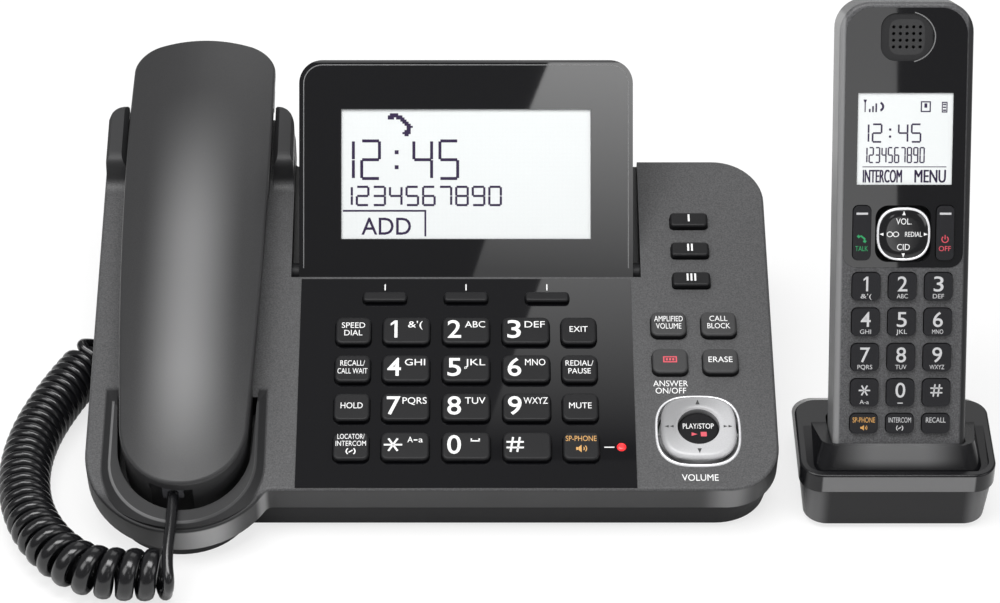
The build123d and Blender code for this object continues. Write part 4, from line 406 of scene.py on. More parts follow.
def lcd(name, sheet, pitch):
    """Backlit white display with a faint grid of pixels."""
    made = plastic(name, (0.64, 0.66, 0.66), 0.2, 0.01, 0.5)
    tree = made.node_tree
    shader = tree.nodes["Principled BSDF"]
    grid = None
    for axis in (sheet.x, sheet.y):
        place = math_node(tree, "MULTIPLY", along_axis(tree, sheet, axis), math.pi / pitch)
        wave = math_node(tree, "ABSOLUTE", math_node(tree, "SINE", place))
        line = math_node(tree, "GREATER_THAN", wave, 0.22)
        grid = line if grid is None else math_node(tree, "MULTIPLY", grid, line)
    tint(made, math_node(tree, "SUBTRACT", 1.0, grid), (0.58, 0.6, 0.6))
    tree.links.new(shader.inputs["Base Color"].links[0].from_socket, shader.inputs["Emission Color"])
    shader.inputs["Emission Strength"].default_value = 0.17
    return made


KEY_TOP = 2.5
PLAY_TOP = 1.6
MAT_FACE = 1.2
PLATE_FACE = 0.4
EARPIECE_Y = 159.4
PANEL_FACE = 0.2
MOUTH_X, MOUTH_Y = -91.6, 11.0
cover_satin = plastic("cover_satin", (0.066, 0.066, 0.068), 0.5, 0.3, 0.55, 0.25, 0.35)
tree = cover_satin.node_tree
across = along_axis(tree, TOP, TOP.x)
upward = along_axis(tree, TOP, TOP.y)
level = along_axis(tree, TOP, TOP.z)
near_mouth = both(tree, falling(tree, upward, 60.0, 66.0), falling(tree, across, -60.0, -58.0))
below = math_node(tree, "MINIMUM", math_node(tree, "SUBTRACT", upward, MOUTH_Y), 0.0)
aside = math_node(tree, "SUBTRACT", across, MOUTH_X)
reach = math_node(tree, "ADD", both(tree, aside, aside), both(tree, below, below))
reach = math_node(tree, "SQRT", reach)
tint(cover_satin, both(tree, near_mouth, ramp(tree, level, 0.1, 0.7)), (0.014, 0.014, 0.015))
tint(cover_satin, both(tree, near_mouth, falling(tree, upward, -5.0, 1.0)), (0.014, 0.014, 0.015))
# painted highlight: a lighter line along the crest of the rim round the mouth cup, stronger towards the left
crest_highlight = both(tree, band(tree, reach, 26.2, 26.6, 27.3, 28.0), ramp(tree, level, 2.3, 2.6))
crest_highlight = both(tree, crest_highlight, math_node(tree, "MULTIPLY_ADD", falling(tree, across, -98.0, -80.0), 0.75, 0.25))
tint(cover_satin, both(tree, near_mouth, crest_highlight), (0.14, 0.14, 0.142))
ears = both(tree, ramp(tree, upward, 137.5, 140.5), ramp(tree, level, 0.5, 2.5))
tint(cover_satin, ears, (0.02, 0.02, 0.021))
skirt = falling(tree, level, -1.0, -0.4)
tint(cover_satin, skirt, (0.024, 0.024, 0.025))
# painted highlights on the skirt: a bright patch under the nose, a bright line at the bend beside it and a
# softer one towards the right
tint(cover_satin, both(tree, skirt, band(tree, across, -104.0, -82.0, -80.0, -67.0)), (0.3, 0.3, 0.302))
tint(cover_satin, both(tree, skirt, band(tree, across, -64.6, -62.2, -61.6, -59.6)), (0.25, 0.25, 0.252))
tint(cover_satin, both(tree, skirt, band(tree, across, 98.0, 109.0, 111.0, 119.0)), (0.16, 0.16, 0.162))
handset_black = plastic("handset_black", (0.03, 0.03, 0.031), 0.4, 0.12, 0.4, 0.1, 0.3)
tree = handset_black.node_tree
across = math_node(tree, "ABSOLUTE", along_axis(tree, HANDSET, HANDSET.x))
upward = along_axis(tree, HANDSET, HANDSET.y)
# painted highlight: a lighter streak down the middle of the handset's back, fading towards the ear end and
# the mouth end, kept above its lower sides
handset_highlight = both(tree, falling(tree, across, 0.0, 20.0), falling(tree, upward, 100.0, 192.0))
handset_highlight = both(tree, handset_highlight, ramp(tree, upward, -2.0, 50.0))
handset_highlight = both(tree, handset_highlight, ramp(tree, along_axis(tree, HANDSET, HANDSET.z), -9.0, -6.0))
tint(handset_black, handset_highlight, (0.155, 0.155, 0.157))
case_black = plastic("case_black", (0.006, 0.006, 0.007), 0.5, 0.2, 0.5, 0.15, 0.25)
panel_gloss = plastic("panel_gloss", (0.004, 0.004, 0.005), 0.02, 0.1, 0.3)
cordless_panel = plastic("cordless_panel", (0.004, 0.004, 0.005), 0.02, 0.1, 0.3)
tree = cordless_panel.node_tree
grille = None
for axis, centre in ((CORDLESS.x, 0.0), (CORDLESS.y, EARPIECE_Y)):
    offset = math_node(tree, "SUBTRACT", along_axis(tree, CORDLESS, axis), centre)
    power = math_node(tree, "POWER", math_node(tree, "ABSOLUTE", offset), 4.0)
    grille = power if grille is None else math_node(tree, "ADD", grille, power)
sunk = falling(tree, along_axis(tree, CORDLESS, CORDLESS.z), -0.2, 0.1)
tint(cordless_panel, both(tree, sunk, falling(tree, grille, 1600.0, 1800.0)), (0.02, 0.02, 0.021))
rough = tree.nodes["Principled BSDF"].inputs["Roughness"]
matt = math_node(tree, "MULTIPLY_ADD", sunk, 0.6, rough.links[0].from_socket)
tree.links.new(matt, rough)
# second colours: painted shade on the sides of the keys
key_black = shaded_key_plastic("key_black", (0.009, 0.009, 0.01), (0.002, 0.002, 0.003), 0.42, TOP, KEY_TOP)
key_grey = shaded_key_plastic("key_grey", (0.046, 0.046, 0.047), (0.008, 0.008, 0.009), 0.45, TOP, KEY_TOP)
key_centre = shaded_key_plastic("key_centre", (0.012, 0.012, 0.013), (0.004, 0.004, 0.005), 0.22, TOP, PLAY_TOP)
key_silver = plastic("key_silver", (0.46, 0.46, 0.47), 0.3, 0.05, 0.4, 0.06)
tree = key_silver.node_tree
# painted shade: the navigator cap darker towards its top left
shade_diagonal = math_node(tree, "SUBTRACT", along_axis(tree, TOP, TOP.x), along_axis(tree, TOP, TOP.y))
tint(key_silver, math_node(tree, "MULTIPLY", falling(tree, shade_diagonal, 54.0, 84.0), 0.7), (0.15, 0.15, 0.153))
key_gloss = plastic("key_gloss", (0.006, 0.006, 0.007), 0.1, 0.1, 0.3)
cord_black = plastic("cord_black", (0.006, 0.006, 0.007), 0.2, 0.15, 0.6, 0.05)
rubber = plastic("foot_rubber", (0.03, 0.03, 0.03), 0.8, 0.2, 0.4, 0.4, 0.3)
# second colour: painted shade on the sides of the mat's keys
mat_rubber = shaded_key_plastic("mat_rubber", (0.016, 0.016, 0.018), (0.003, 0.003, 0.004), 0.42, CORDLESS, MAT_FACE)
socket_black = plastic("socket_black", (0.01, 0.01, 0.01), 0.4, 0.15, 0.4, 0.2)
cordless_grey = plastic("cordless_grey", (0.075, 0.075, 0.078), 0.42, 0.4, 0.5, 0.25, 0.35)
tree = cordless_grey.node_tree
across = along_axis(tree, CORDLESS, CORDLESS.x)
# painted highlight on the left bevel of the cordless handset and painted shade on its right bevel
tint(cordless_grey, falling(tree, across, -22.6, -21.6), (0.2, 0.2, 0.203))
tint(cordless_grey, ramp(tree, across, 21.6, 22.6), (0.012, 0.012, 0.013))
charger_gloss = plastic("charger_gloss", (0.006, 0.006, 0.007), 0.2, 0.12, 0.4, 0.03, 0.3)
tree = charger_gloss.node_tree
across = math_node(tree, "ABSOLUTE", along_axis(tree, CHARGER, CHARGER.x))
inward = along_axis(tree, CHARGER, CHARGER.y)
level = along_axis(tree, CHARGER, CHARGER.z)
# painted reflections on the dark gloss charger: a bright band across the front strip, a lighter sloping front
# of the cup, lighter front corners low down
strip_highlight = both(tree, band(tree, level, 18.0, 18.3, 25.0, 25.6), falling(tree, across, 27.5, 28.5))
tint(charger_gloss, both(tree, strip_highlight, falling(tree, inward, 5.0, 5.5)), (0.16, 0.16, 0.162))
slope_highlight = both(tree, band(tree, inward, 6.5, 9.0, 30.0, 34.0), ramp(tree, level, 17.0, 27.0))
tint(charger_gloss, both(tree, slope_highlight, falling(tree, across, 8.0, 26.0)), (0.12, 0.12, 0.122))
side = both(tree, band(tree, across, 24.0, 29.0, 31.0, 35.0), falling(tree, level, 17.5, 18.0))
tint(charger_gloss, both(tree, side, falling(tree, inward, 9.0, 12.0)), (0.09, 0.09, 0.092))
board_green = plastic("board_green", (0.02, 0.12, 0.05), 0.4, 0.3, 0.8, 0.2)
plug_clear = plastic("plug_clear", (0.12, 0.12, 0.13), 0.12, 0.1, 0.5, 0.05, 0.5, 0.6)
trim_silver = metal("trim_silver", (0.9, 0.9, 0.92), 0.25, 0.6)
trim_silver.node_tree.nodes["Principled BSDF"].inputs["Metallic"].default_value = 0.4
steel = metal("screw_steel", (0.5, 0.5, 0.52), 0.35, 0.3)
speaker_steel = metal("speaker_steel", (0.4, 0.4, 0.41), 0.4, 0.5)
base_lcd = lcd("base_lcd", DISPLAY, 0.5)
cordless_lcd = lcd("cordless_lcd", CORDLESS, 0.36)
ink_white = plastic("ink_white", (0.8, 0.8, 0.8), 0.5, 0.04, 0.3)
ink_grey = plastic("ink_grey", (0.5, 0.5, 0.51), 0.5, 0.04, 0.3)
# grey of painted edge highlights
edge_highlight = plastic("edge_highlight", (0.17, 0.17, 0.172), 0.3, 0.05, 0.3)
ink_red = plastic("ink_red", (0.62, 0.07, 0.1), 0.5, 0.06, 0.3)
ink_orange = plastic("ink_orange", (0.6, 0.32, 0.09), 0.5, 0.06, 0.3)
ink_green = plastic("ink_green", (0.02, 0.28, 0.1), 0.5, 0.06, 0.3)
ink_dark = plastic("ink_dark", (0.02, 0.02, 0.021), 0.5, 0.06, 0.3)
segment = plastic("segment", (0.02, 0.008, 0.045), 0.3, 0.05, 0.3)

looks = {
    "cover_satin": cover_satin,
    "case_black": case_black,
    "panel_gloss": panel_gloss,
    "key_black": key_black,
    "key_silver": key_silver,
    "key_gloss": key_gloss,
    "charger_gloss": charger_gloss,
    "trim_silver": trim_silver,
    "board_green": board_green,
    "speaker_steel": speaker_steel,
    "foot_rubber": rubber,
    "screw_steel": steel,
    "socket_black": socket_black,
    "cord_black": cord_black,
    "plug_clear": plug_clear,
    "lcd_glass": base_lcd,
    "handset_black": handset_black,
    "cordless_grey": cordless_grey,
    "mat_rubber": mat_rubber,
}
own_looks = {
    "amplifier_key": key_grey,
    "call_block_key": key_grey,
    "answer_key": key_grey,
    "erase_key": key_grey,
    "play_stop_key": key_centre,
    "cordless_lcd": cordless_lcd,
    "cordless_faceplate": cordless_panel,
}
for row in frame["record"]["subparts"]:
    piece = nodes[row["node"]]
    piece.data.materials.clear()
    piece.data.materials.append(own_looks.get(row["node"], looks[row["material_slot"]]))


# ---------------------------------------------------------------- printing
class Print:
    """Flat printed shapes on a sheet, gathered into one thin piece."""

    def __init__(self, sheet, height):
        self.sheet = sheet
        self.height = height
        self.work = bmesh.new()

    def shape(self, points):
        corners = [self.work.verts.new(self.sheet.at(x, y, self.height) * MM) for x, y in points]
        self.work.faces.new(corners)

    def bar(self, x, y, width, depth):
        self.shape(
            [
                (x - width / 2, y - depth / 2),
                (x + width / 2, y - depth / 2),
                (x + width / 2, y + depth / 2),
                (x - width / 2, y + depth / 2),
            ]
        )

    def line(self, start, end, width):
        a, b = Vector(start), Vector(end)
        side = Vector((-(b - a).y, (b - a).x)).normalized() * width / 2
        self.shape([a - side, b - side, b + side, a + side])

    def arc(self, x, y, radius, width, start, end, steps=10, squash=1.0):
        """Part of a ring between two angles in degrees."""
        for step in range(steps):
            turns = [math.radians(start + (end - start) * (step + k) / steps) for k in (0, 1)]
            points = []
            for reach, order in ((radius + width / 2, turns), (radius - width / 2, turns[::-1])):
                points += [(x + reach * math.cos(t), y + squash * reach * math.sin(t)) for t in order]
            self.shape(points)

    def word(self, text, x, y, cap, width=None, bold=0.0):
        """A word centred at a place, with its cap height and, if given, its whole width."""
        verts, faces, low, high = glyphs(text, bold)
        across = (width / (high - low)) if width else cap / CAP
        new = []
        for vx, vy in verts:
            px = x + (vx - (low + high) / 2) * across
            py = y - cap / 2 + vy * cap / CAP
            new.append(self.work.verts.new(self.sheet.at(px, py, self.height) * MM))
        for face in faces:
            self.work.faces.new([new[index] for index in face])

    def finish(self, name, look, body):
        return mesh_piece(name, self.work, look, body)


def glyphs(text, bold):
    """Outlines of a word in Blender's own font, as flat faces of unit size."""
    data = bpy.data.curves.new("word", "FONT")
    data.body = text
    data.resolution_u = 4
    data.offset = bold
    holder = bpy.data.objects.new("word", data)
    scene.collection.objects.link(holder)
    mesh = bpy.data.meshes.new_from_object(holder)
    verts = [(vertex.co.x, vertex.co.y) for vertex in mesh.vertices]
    faces = [tuple(face.vertices) for face in mesh.polygons]
    bpy.data.objects.remove(holder)
    bpy.data.curves.remove(data)
    bpy.data.meshes.remove(mesh)
    return verts, faces, min(v[0] for v in verts), max(v[0] for v in verts)


CAP = max(v[1] for v in glyphs("H", 0.0)[0])
INK = 0.04


def speaker_icon(ink, x, y, size):
    """Loudspeaker with two sound waves."""
    ink.bar(x - 0.36 * size, y, 0.2 * size, 0.3 * size)
    ink.shape(
        [
            (x - 0.24 * size, y - 0.15 * size),
            (x + 0.02 * size, y - 0.4 * size),
            (x + 0.02 * size, y + 0.4 * size),
            (x - 0.24 * size, y + 0.15 * size),
        ]
    )
    ink.arc(x, y, 0.26 * size, 0.09 * size, -40, 40, 6)
    ink.arc(x, y, 0.46 * size, 0.09 * size, -40, 40, 8)


def receiver_icon(ink, x, y, size, turn=0.0):
    """Telephone receiver, seen as an arc with two cups."""
    c, s = math.cos(math.radians(turn)), math.sin(math.radians(turn))

    def put(points):
        ink.shape([(x + size * (c * px - s * py), y + size * (s * px + c * py)) for px, py in points])

    put([(-0.34, 0.08), (0.34, 0.08), (0.26, 0.24), (-0.26, 0.24)])
    put([(-0.52, -0.12), (-0.26, -0.16), (-0.22, 0.08), (-0.5, 0.12)])
    put([(0.52, -0.12), (0.5, 0.12), (0.22, 0.08), (0.26, -0.16)])


def intercom_icon(ink, x, y, size):
    """Two receivers that face each other with dots between."""
    ink.arc(x, y, 0.45 * size, 0.13 * size, 130, 230, 7)
    ink.arc(x, y, 0.45 * size, 0.13 * size, -50, 50, 7)
    ink.line((x - 0.2 * size, y - 0.14 * size), (x + 0.2 * size, y + 0.14 * size), 0.12 * size)


def triangle(ink, x, y, size, direction):
    """Small arrow head pointing along a direction given in degrees."""
    angle = math.radians(direction)
    points = []
    for turn in (0.0, 2.45, -2.45):
        reach = size * (0.62 if turn == 0.0 else 0.66)
        points.append((x + reach * math.cos(angle + turn), y + reach * math.sin(angle + turn)))
    ink.shape(points)


def key_print(node, words, look=ink_white, extra=None):
    """Legend of one key of the base: words are (text, x, y, cap, width)."""
    x, y = TOP.of(node)
    ink = Print(TOP, KEY_TOP + INK)
    for text, dx, dy, cap, width in words:
        ink.word(text, x + dx, y + dy, cap, width)
    if extra:
        extra(ink, x, y)
    ink.finish("legend_" + node, look, node + "_body")


def figure_one(ink, x, y, cap):
    """Figure 1 as a stem with its flag."""
    ink.bar(x, y, 0.14 * cap, cap)
    ink.shape(
        [
            (x - 0.069 * cap, y + 0.5 * cap),
            (x - 0.25 * cap, y + 0.33 * cap),
            (x - 0.25 * cap, y + 0.2 * cap),
            (x - 0.069 * cap, y + 0.34 * cap),
        ]
    )


DIGIT_CAP = 8.0
LETTERS = {
    "1": "&'(", "2": "ABC", "3": "DEF", "4": "GHI", "5": "JKL", "6": "MNO",
    "7": "PQRS", "8": "TUV", "9": "WXYZ",
}
for digit in "1 2 3 4 5 6 7 8 9 0".split():
    x, y = TOP.of("dial_key_" + digit)
    ink = Print(TOP, KEY_TOP + INK)
    if digit == "1":
        figure_one(ink, x - 3.9, y, DIGIT_CAP)
    else:
        ink.word(digit, x - 4.4, y, DIGIT_CAP, 5.1, 0.008)
    if digit in LETTERS:
        text = LETTERS[digit]
        wide = 5.6 if digit == "1" else 7.6 if len(text) == 3 else 9.0
        ink.word(text, x + 3.4, y + 2.2, 2.9, wide)
    if digit == "0":
        ink.bar(x + 3.4, y + 1.6, 3.4, 0.55)
        ink.bar(x + 1.95, y + 2.1, 0.5, 1.2)
        ink.bar(x + 4.85, y + 2.1, 0.5, 1.2)
    if digit == "5":
        ink.arc(x - 0.2, y - 0.4, 0.45, 0.2, 0, 360, 10)
    ink.finish("legend_dial_" + digit, ink_white, "dial_key_" + digit + "_body")

x, y = TOP.of("dial_key_star")
ink = Print(TOP, KEY_TOP + INK)
for turn in (0, 60, 120):
    c, s = 3.4 * math.cos(math.radians(turn)), 3.2 * math.sin(math.radians(turn))
    ink.line((x - 4.4 - c, y - 0.1 - s), (x - 4.4 + c, y - 0.1 + s), 0.75)
ink.word("A", x + 1.9, y + 2.2, 2.5, 2.0)
ink.line((x + 3.2, y + 2.0), (x + 4.6, y + 2.0), 0.5)
ink.word("a", x + 5.8, y + 2.2, 2.5, 1.6)
ink.finish("legend_dial_star", ink_white, "dial_key_star_body")

x, y = TOP.of("dial_key_hash")
ink = Print(TOP, KEY_TOP + INK)
for shift in (-1.25, 1.25):
    ink.line((x - 4.9 + shift, y - 3.3), (x - 3.9 + shift, y + 3.3), 0.75)
    ink.line((x - 7.6, y - 0.1 + shift), (x - 1.2, y - 0.1 + shift), 0.75)
ink.finish("legend_dial_hash", ink_white, "dial_key_hash_body")

key_print("speed_dial_key", [("SPEED", 0, 1.8, 2.5, 8.8), ("DIAL", 0, -1.7, 2.5, 6.8)])
key_print("recall_key", [("RECALL/", 0, 1.8, 2.4, 9.2), ("CALL WAIT", 0, -1.8, 2.4, 11.2)])
key_print("hold_key", [("HOLD", 0, 0, 2.6, 8.2)])
key_print(
    "intercom_key",
    [("LOCATOR/", 0, 3.6, 2.2, 10.0), ("INTERCOM", 0, 0.5, 2.2, 11.2)],
    extra=lambda ink, x, y: intercom_icon(ink, x, y - 3.0, 3.6),
)
key_print("exit_key", [("EXIT", 0, 0, 2.6, 6.8)])
key_print("redial_key", [("REDIAL/", 0, 1.8, 2.4, 10.4), ("PAUSE", 0, -1.8, 2.4, 8.4)])
key_print("mute_key", [("MUTE", 0, 0, 2.6, 8.4)])
key_print(
    "speakerphone_key",
    [("SP-PHONE", 0, 2.7, 2.3, 11.4)],
    look=ink_orange,
    extra=lambda ink, x, y: speaker_icon(ink, x, y - 1.8, 4.2),
)
key_print("amplifier_key", [("AMPLIFIED", 0, 1.7, 2.5, 10.8), ("VOLUME", 0, -1.7, 2.5, 9.6)])
key_print("call_block_key", [("CALL", 0, 1.8, 2.4, 6.8), ("BLOCK", 0, -1.6, 2.4, 8.6)])
key_print("erase_key", [("ERASE", 0, 0, 2.5, 9.0)])


def answer_frame(ink, x, y):
    """Frame with three blocks, the sign of the answering machine."""
    for shift in (-1.0, 1.0):
        ink.bar(x, y + shift * 1.15, 5.2, 0.5)
        ink.bar(x + shift * 2.35, y, 0.5, 1.8)
    for shift in (-1.2, 0.0, 1.2):
        ink.bar(x + shift, y, 0.75, 1.1)


key_print("answer_key", [], look=ink_red, extra=answer_frame)
for number in (1, 2, 3):

    def strokes(ink, x, y, number=number):
        for index in range(number):
            ink.bar(x + (index - (number - 1) / 2) * 1.45, y + 0.1, 0.7, 3.4)

    key_print("one_touch_key_" + str(number), [], extra=strokes)

# legends on the cover and the faceplate
x, y = TOP.of("answer_key")
ink = Print(TOP, INK)
ink.word("ANSWER", x, y - 9.3, 2.6, 13.0)
ink.word("ON/OFF", x, y - 12.6, 2.6, 11.4)
x, y = TOP.of("play_stop_key")
ink.word("VOLUME", x, y - 20.6, 2.8, 13.4)
ink.finish("legend_cover", ink_white, "base")
ink = Print(TOP, PLATE_FACE + INK)
for place in ("left", "middle", "right"):
    x, y = TOP.of("softkey_" + place)
    ink.bar(x, y + 5.2, 0.45, 2.9)
x, y = TOP.of("speakerphone_key")
ink.bar(x + 10.4, y + 0.2, 3.7, 0.45)
ink.finish("legend_faceplate", ink_white, "base")

# square corners of the faceplate, beside its rounded seat
PLATE_LEFT, PLATE_RIGHT, PLATE_FRONT, PLATE_REAR = -50.2, 75.2, 0.9, 96.3
PLATE_CORNER = 3.0
work = bmesh.new()
for edge_x, inward in ((PLATE_LEFT, 1), (PLATE_RIGHT, -1)):
    for edge_y, upward in ((PLATE_FRONT, 1), (PLATE_REAR, -1)):
        outline = [(edge_x, edge_y)]
        for step in range(7):
            angle = math.pi / 2 * step / 6
            outline.append(
                (
                    edge_x + inward * PLATE_CORNER * (1 - math.sin(angle)),
                    edge_y + upward * PLATE_CORNER * (1 - math.cos(angle)),
                )
            )
        foot, head = (
            [work.verts.new(TOP.at(px, py, height) * MM) for px, py in outline]
            for height in (0.0, PLATE_FACE)
        )
        work.faces.new(head)
        for index in range(len(outline)):
            after = (index + 1) % len(outline)
            work.faces.new((foot[index], foot[after], head[after], head[index]))
mesh_piece("faceplate_corners", work, panel_gloss, "base")

# red lamp of the speakerphone
lamp_look = plastic("lamp_red", (0.72, 0.02, 0.02), 0.3, 0.1, 0.8, 0.05)
shader = lamp_look.node_tree.nodes["Principled BSDF"]
shader.inputs["Emission Color"].default_value = (1.0, 0.02, 0.03, 1)
shader.inputs["Emission Strength"].default_value = 0.7
rings = []
work = bmesh.new()
LAMP_STEPS = 24
x, y = TOP.of("speakerphone_key")
for radius, rise in ((1.75, 0.0), (1.7, 0.25), (1.35, 0.5), (0.75, 0.65)):
    ring = []
    for step in range(LAMP_STEPS):
        angle = 2 * math.pi * step / LAMP_STEPS
        across, upward = x + 14.9 + radius * math.cos(angle), y + 0.2 + radius * math.sin(angle)
        ring.append(work.verts.new(TOP.at(across, upward, PLATE_FACE + rise) * MM))
    rings.append(ring)
join_rings(work, rings)
work.faces.new(rings[-1])
mesh_piece("speakerphone_lamp", work, lamp_look, "base")


def squircle_piece(name, sheet, x, y, profile, look, body, steps=72):
    """Turned piece of rings (half width, exponent, height) around a place; exponent 2 is a circle."""
    work = bmesh.new()
    rings = []
    for half, exponent, height in profile:
        ring = []
        for step in range(steps):
            angle = 2 * math.pi * step / steps
            c, s = math.cos(angle), math.sin(angle)
            reach = half / (abs(c) ** exponent + abs(s) ** exponent) ** (1 / exponent)
            ring.append(work.verts.new(sheet.at(x + reach * c, y + reach * s, height) * MM))
        rings.append(ring)
    join_rings(work, rings)
    return mesh_piece(name, work, look, body)


# navigator cap, its trim and arrows, and the play key
CAP_TOP = 3.27
x, y = TOP.of("play_stop_key")
squircle_piece(
    "navigator_cap",
    TOP,
    x,
    y,
    [(13.0, 3.0, 0.95), (13.8, 3.0, 1.0), (13.9, 3.0, 2.1), (13.6, 3.0, 2.6), (12.9, 3.0, 3.05),
     (12.0, 2.9, 3.24), (10.0, 2.6, CAP_TOP), (8.6, 2.2, 3.24), (8.0, 2.0, 2.9), (7.8, 2.0, 1.0)],
    key_silver,
    "navigator",
)
trim = squircle_piece(
    "navigator_trim",
    TOP,
    x,
    y,
    [(14.95, 2.9, 0.02), (15.0, 2.9, 0.5), (15.3, 2.9, 0.65), (15.7, 2.9, 0.5), (15.9, 2.9, 0.0)],
    trim_silver,
    "base",
)
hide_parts("navigator_trim_ring")
ink = Print(TOP, CAP_TOP + INK)
triangle(ink, x, y + 10.8, 1.9, 90)
triangle(ink, x, y - 10.8, 1.9, -90)
for shift in (-0.9, 0.9):
    triangle(ink, x - 10.8 + shift, y, 1.3, 180)
    triangle(ink, x + 10.8 + shift, y, 1.3, 0)
ink.finish("legend_navigator", ink_dark, "navigator")
ink = Print(TOP, PLAY_TOP + INK)
ink.word("PLAY/STOP", x, y + 1.2, 2.3, 11.4)
ink.finish("legend_play", ink_white, "play_stop_key_body")
ink = Print(TOP, PLAY_TOP + INK)
triangle(ink, x - 1.6, y - 2.4, 1.9, 0)
ink.bar(x + 1.9, y - 2.4, 2.2, 2.0)
ink.finish("legend_play_signs", ink_red, "play_stop_key_body")

# ---------------------------------------------------------------- what the displays show
SEGMENTS = {
    "0": "abcdef", "1": "bc", "2": "abged", "3": "abgcd", "4": "fgbc",
    "5": "afgcd", "6": "afgedc", "7": "abc", "8": "abcdefg", "9": "abcfgd",
}


def digit_row(ink, text, left, foot, pitch, width, height, stroke):
    """Row of seven-segment digits."""
    for index, digit in enumerate(text):
        x = left + index * pitch
        if digit == ":":
            ink.bar(x + width / 2, foot + height * 0.3, stroke * 1.3, stroke * 1.3)
            ink.bar(x + width / 2, foot + height * 0.7, stroke * 1.3, stroke * 1.3)
            continue
        if digit not in SEGMENTS:
            continue
        gap = stroke * 0.15
        half = height / 2
        parts = {
            "a": ((x + gap, foot + height), (x + width - gap, foot + height)),
            "g": ((x + gap, foot + half), (x + width - gap, foot + half)),
            "d": ((x + gap, foot), (x + width - gap, foot)),
            "b": ((x + width, foot + half + gap), (x + width, foot + height - gap)),
            "c": ((x + width, foot + gap), (x + width, foot + half - gap)),
            "f": ((x, foot + half + gap), (x, foot + height - gap)),
            "e": ((x, foot + gap), (x, foot + half - gap)),
        }
        for part in SEGMENTS[digit]:
            ink.line(*parts[part], stroke)


def block_receiver(ink, left, top, cell):
    """Receiver drawn in square blocks."""
    for column, row, wide in (
        (1, 0, 4), (0, 1, 7), (0, 2, 3), (4, 2, 4), (6, 3, 3), (7, 4, 3), (8, 5, 3),
        (9, 6, 3), (9, 7, 2), (8, 8, 3), (7, 9, 4), (8, 10, 2),
    ):
        ink.bar(left + (column + wide / 2) * cell, top - (row + 0.5) * cell, wide * cell, cell)


LCD_FACE = 4.4
DISPLAY_FRONT = 5.5
ink = Print(DISPLAY, LCD_FACE + INK)
block_receiver(ink, -30.0, 61.4, 0.8)
digit_row(ink, "12:45", -50.0, 36.4, 10.0, 6.8, 14.4, 1.15)
digit_row(ink, "1234567890", -48.2, 26.2, 6.35, 4.4, 7.0, 0.85)
ink.line((-47.2, 24.0), (-15.6, 24.0), 0.7)
ink.line((-15.6, 24.35), (-15.6, 14.2), 0.7)
ink.word("ADD", -30.6, 18.1, 6.4, 19.0, 0.006)
ink.finish("display_figures", segment, "display")

# painted highlight: a light line along the side and top edges of the display's front
ink = Print(DISPLAY, DISPLAY_FRONT + INK)
EDGE_X, EDGE_TOP, EDGE_ROUND = 62.2, 79.9, 7.2
for side in (-1, 1):
    ink.bar(side * EDGE_X, (EDGE_TOP - EDGE_ROUND) / 2 + 1, 0.35, EDGE_TOP - EDGE_ROUND - 2)
    turn = (0, 90) if side > 0 else (90, 180)
    ink.arc(side * (EDGE_X - EDGE_ROUND), EDGE_TOP - EDGE_ROUND, EDGE_ROUND, 0.35, *turn, 10)
ink.bar(0, EDGE_TOP, 2 * (EDGE_X - EDGE_ROUND), 0.35)
ink.finish("display_edge_highlight", edge_highlight, "display")

GLASS_FACE = -0.3
ink = Print(CORDLESS, GLASS_FACE + INK)
ink.line((-14.6, 132.2), (-14.6, 136.4), 0.4)
triangle(ink, -14.6, 136.0, 1.5, -90)
for index in range(3):
    ink.bar(-12.9 + index * 1.15, 132.2 + (1.2 + index) / 2, 0.6, 1.2 + index)
ink.arc(-9.6, 134.2, 1.5, 0.8, -70, 70, 8)
for shift in (-1.0, 1.0):
    ink.bar(7.3, 134.2 + shift * 1.75, 3.6, 0.45)
    ink.bar(7.3 + shift * 1.6, 134.2, 0.45, 3.3)
ink.bar(7.3, 134.6, 1.0, 1.6)
for shift in (-1.0, 1.0):
    ink.bar(14.1, 134.0 + shift * 1.75, 2.0, 0.4)
    ink.bar(14.1 + shift * 0.85, 134.0, 0.35, 3.3)
for index in range(3):
    ink.bar(14.1, 132.9 + index * 1.05, 1.1, 0.5)
digit_row(ink, "12:45", -16.4, 121.4, 4.7, 3.2, 6.4, 0.62)
digit_row(ink, "1234567890", -15.1, 113.9, 2.3, 1.45, 5.4, 0.5)
ink.line((-15.2, 112.3), (15.2, 112.3), 0.3)
for shift in (-0.13, 0.13):
    ink.word("INTERCOM", -7.9 + shift, 108.9, 4.6, 14.0)
    ink.word("MENU", 9.4 + shift, 108.9, 4.6, 11.2)
ink.finish("cordless_figures", segment, "cordless_handset")

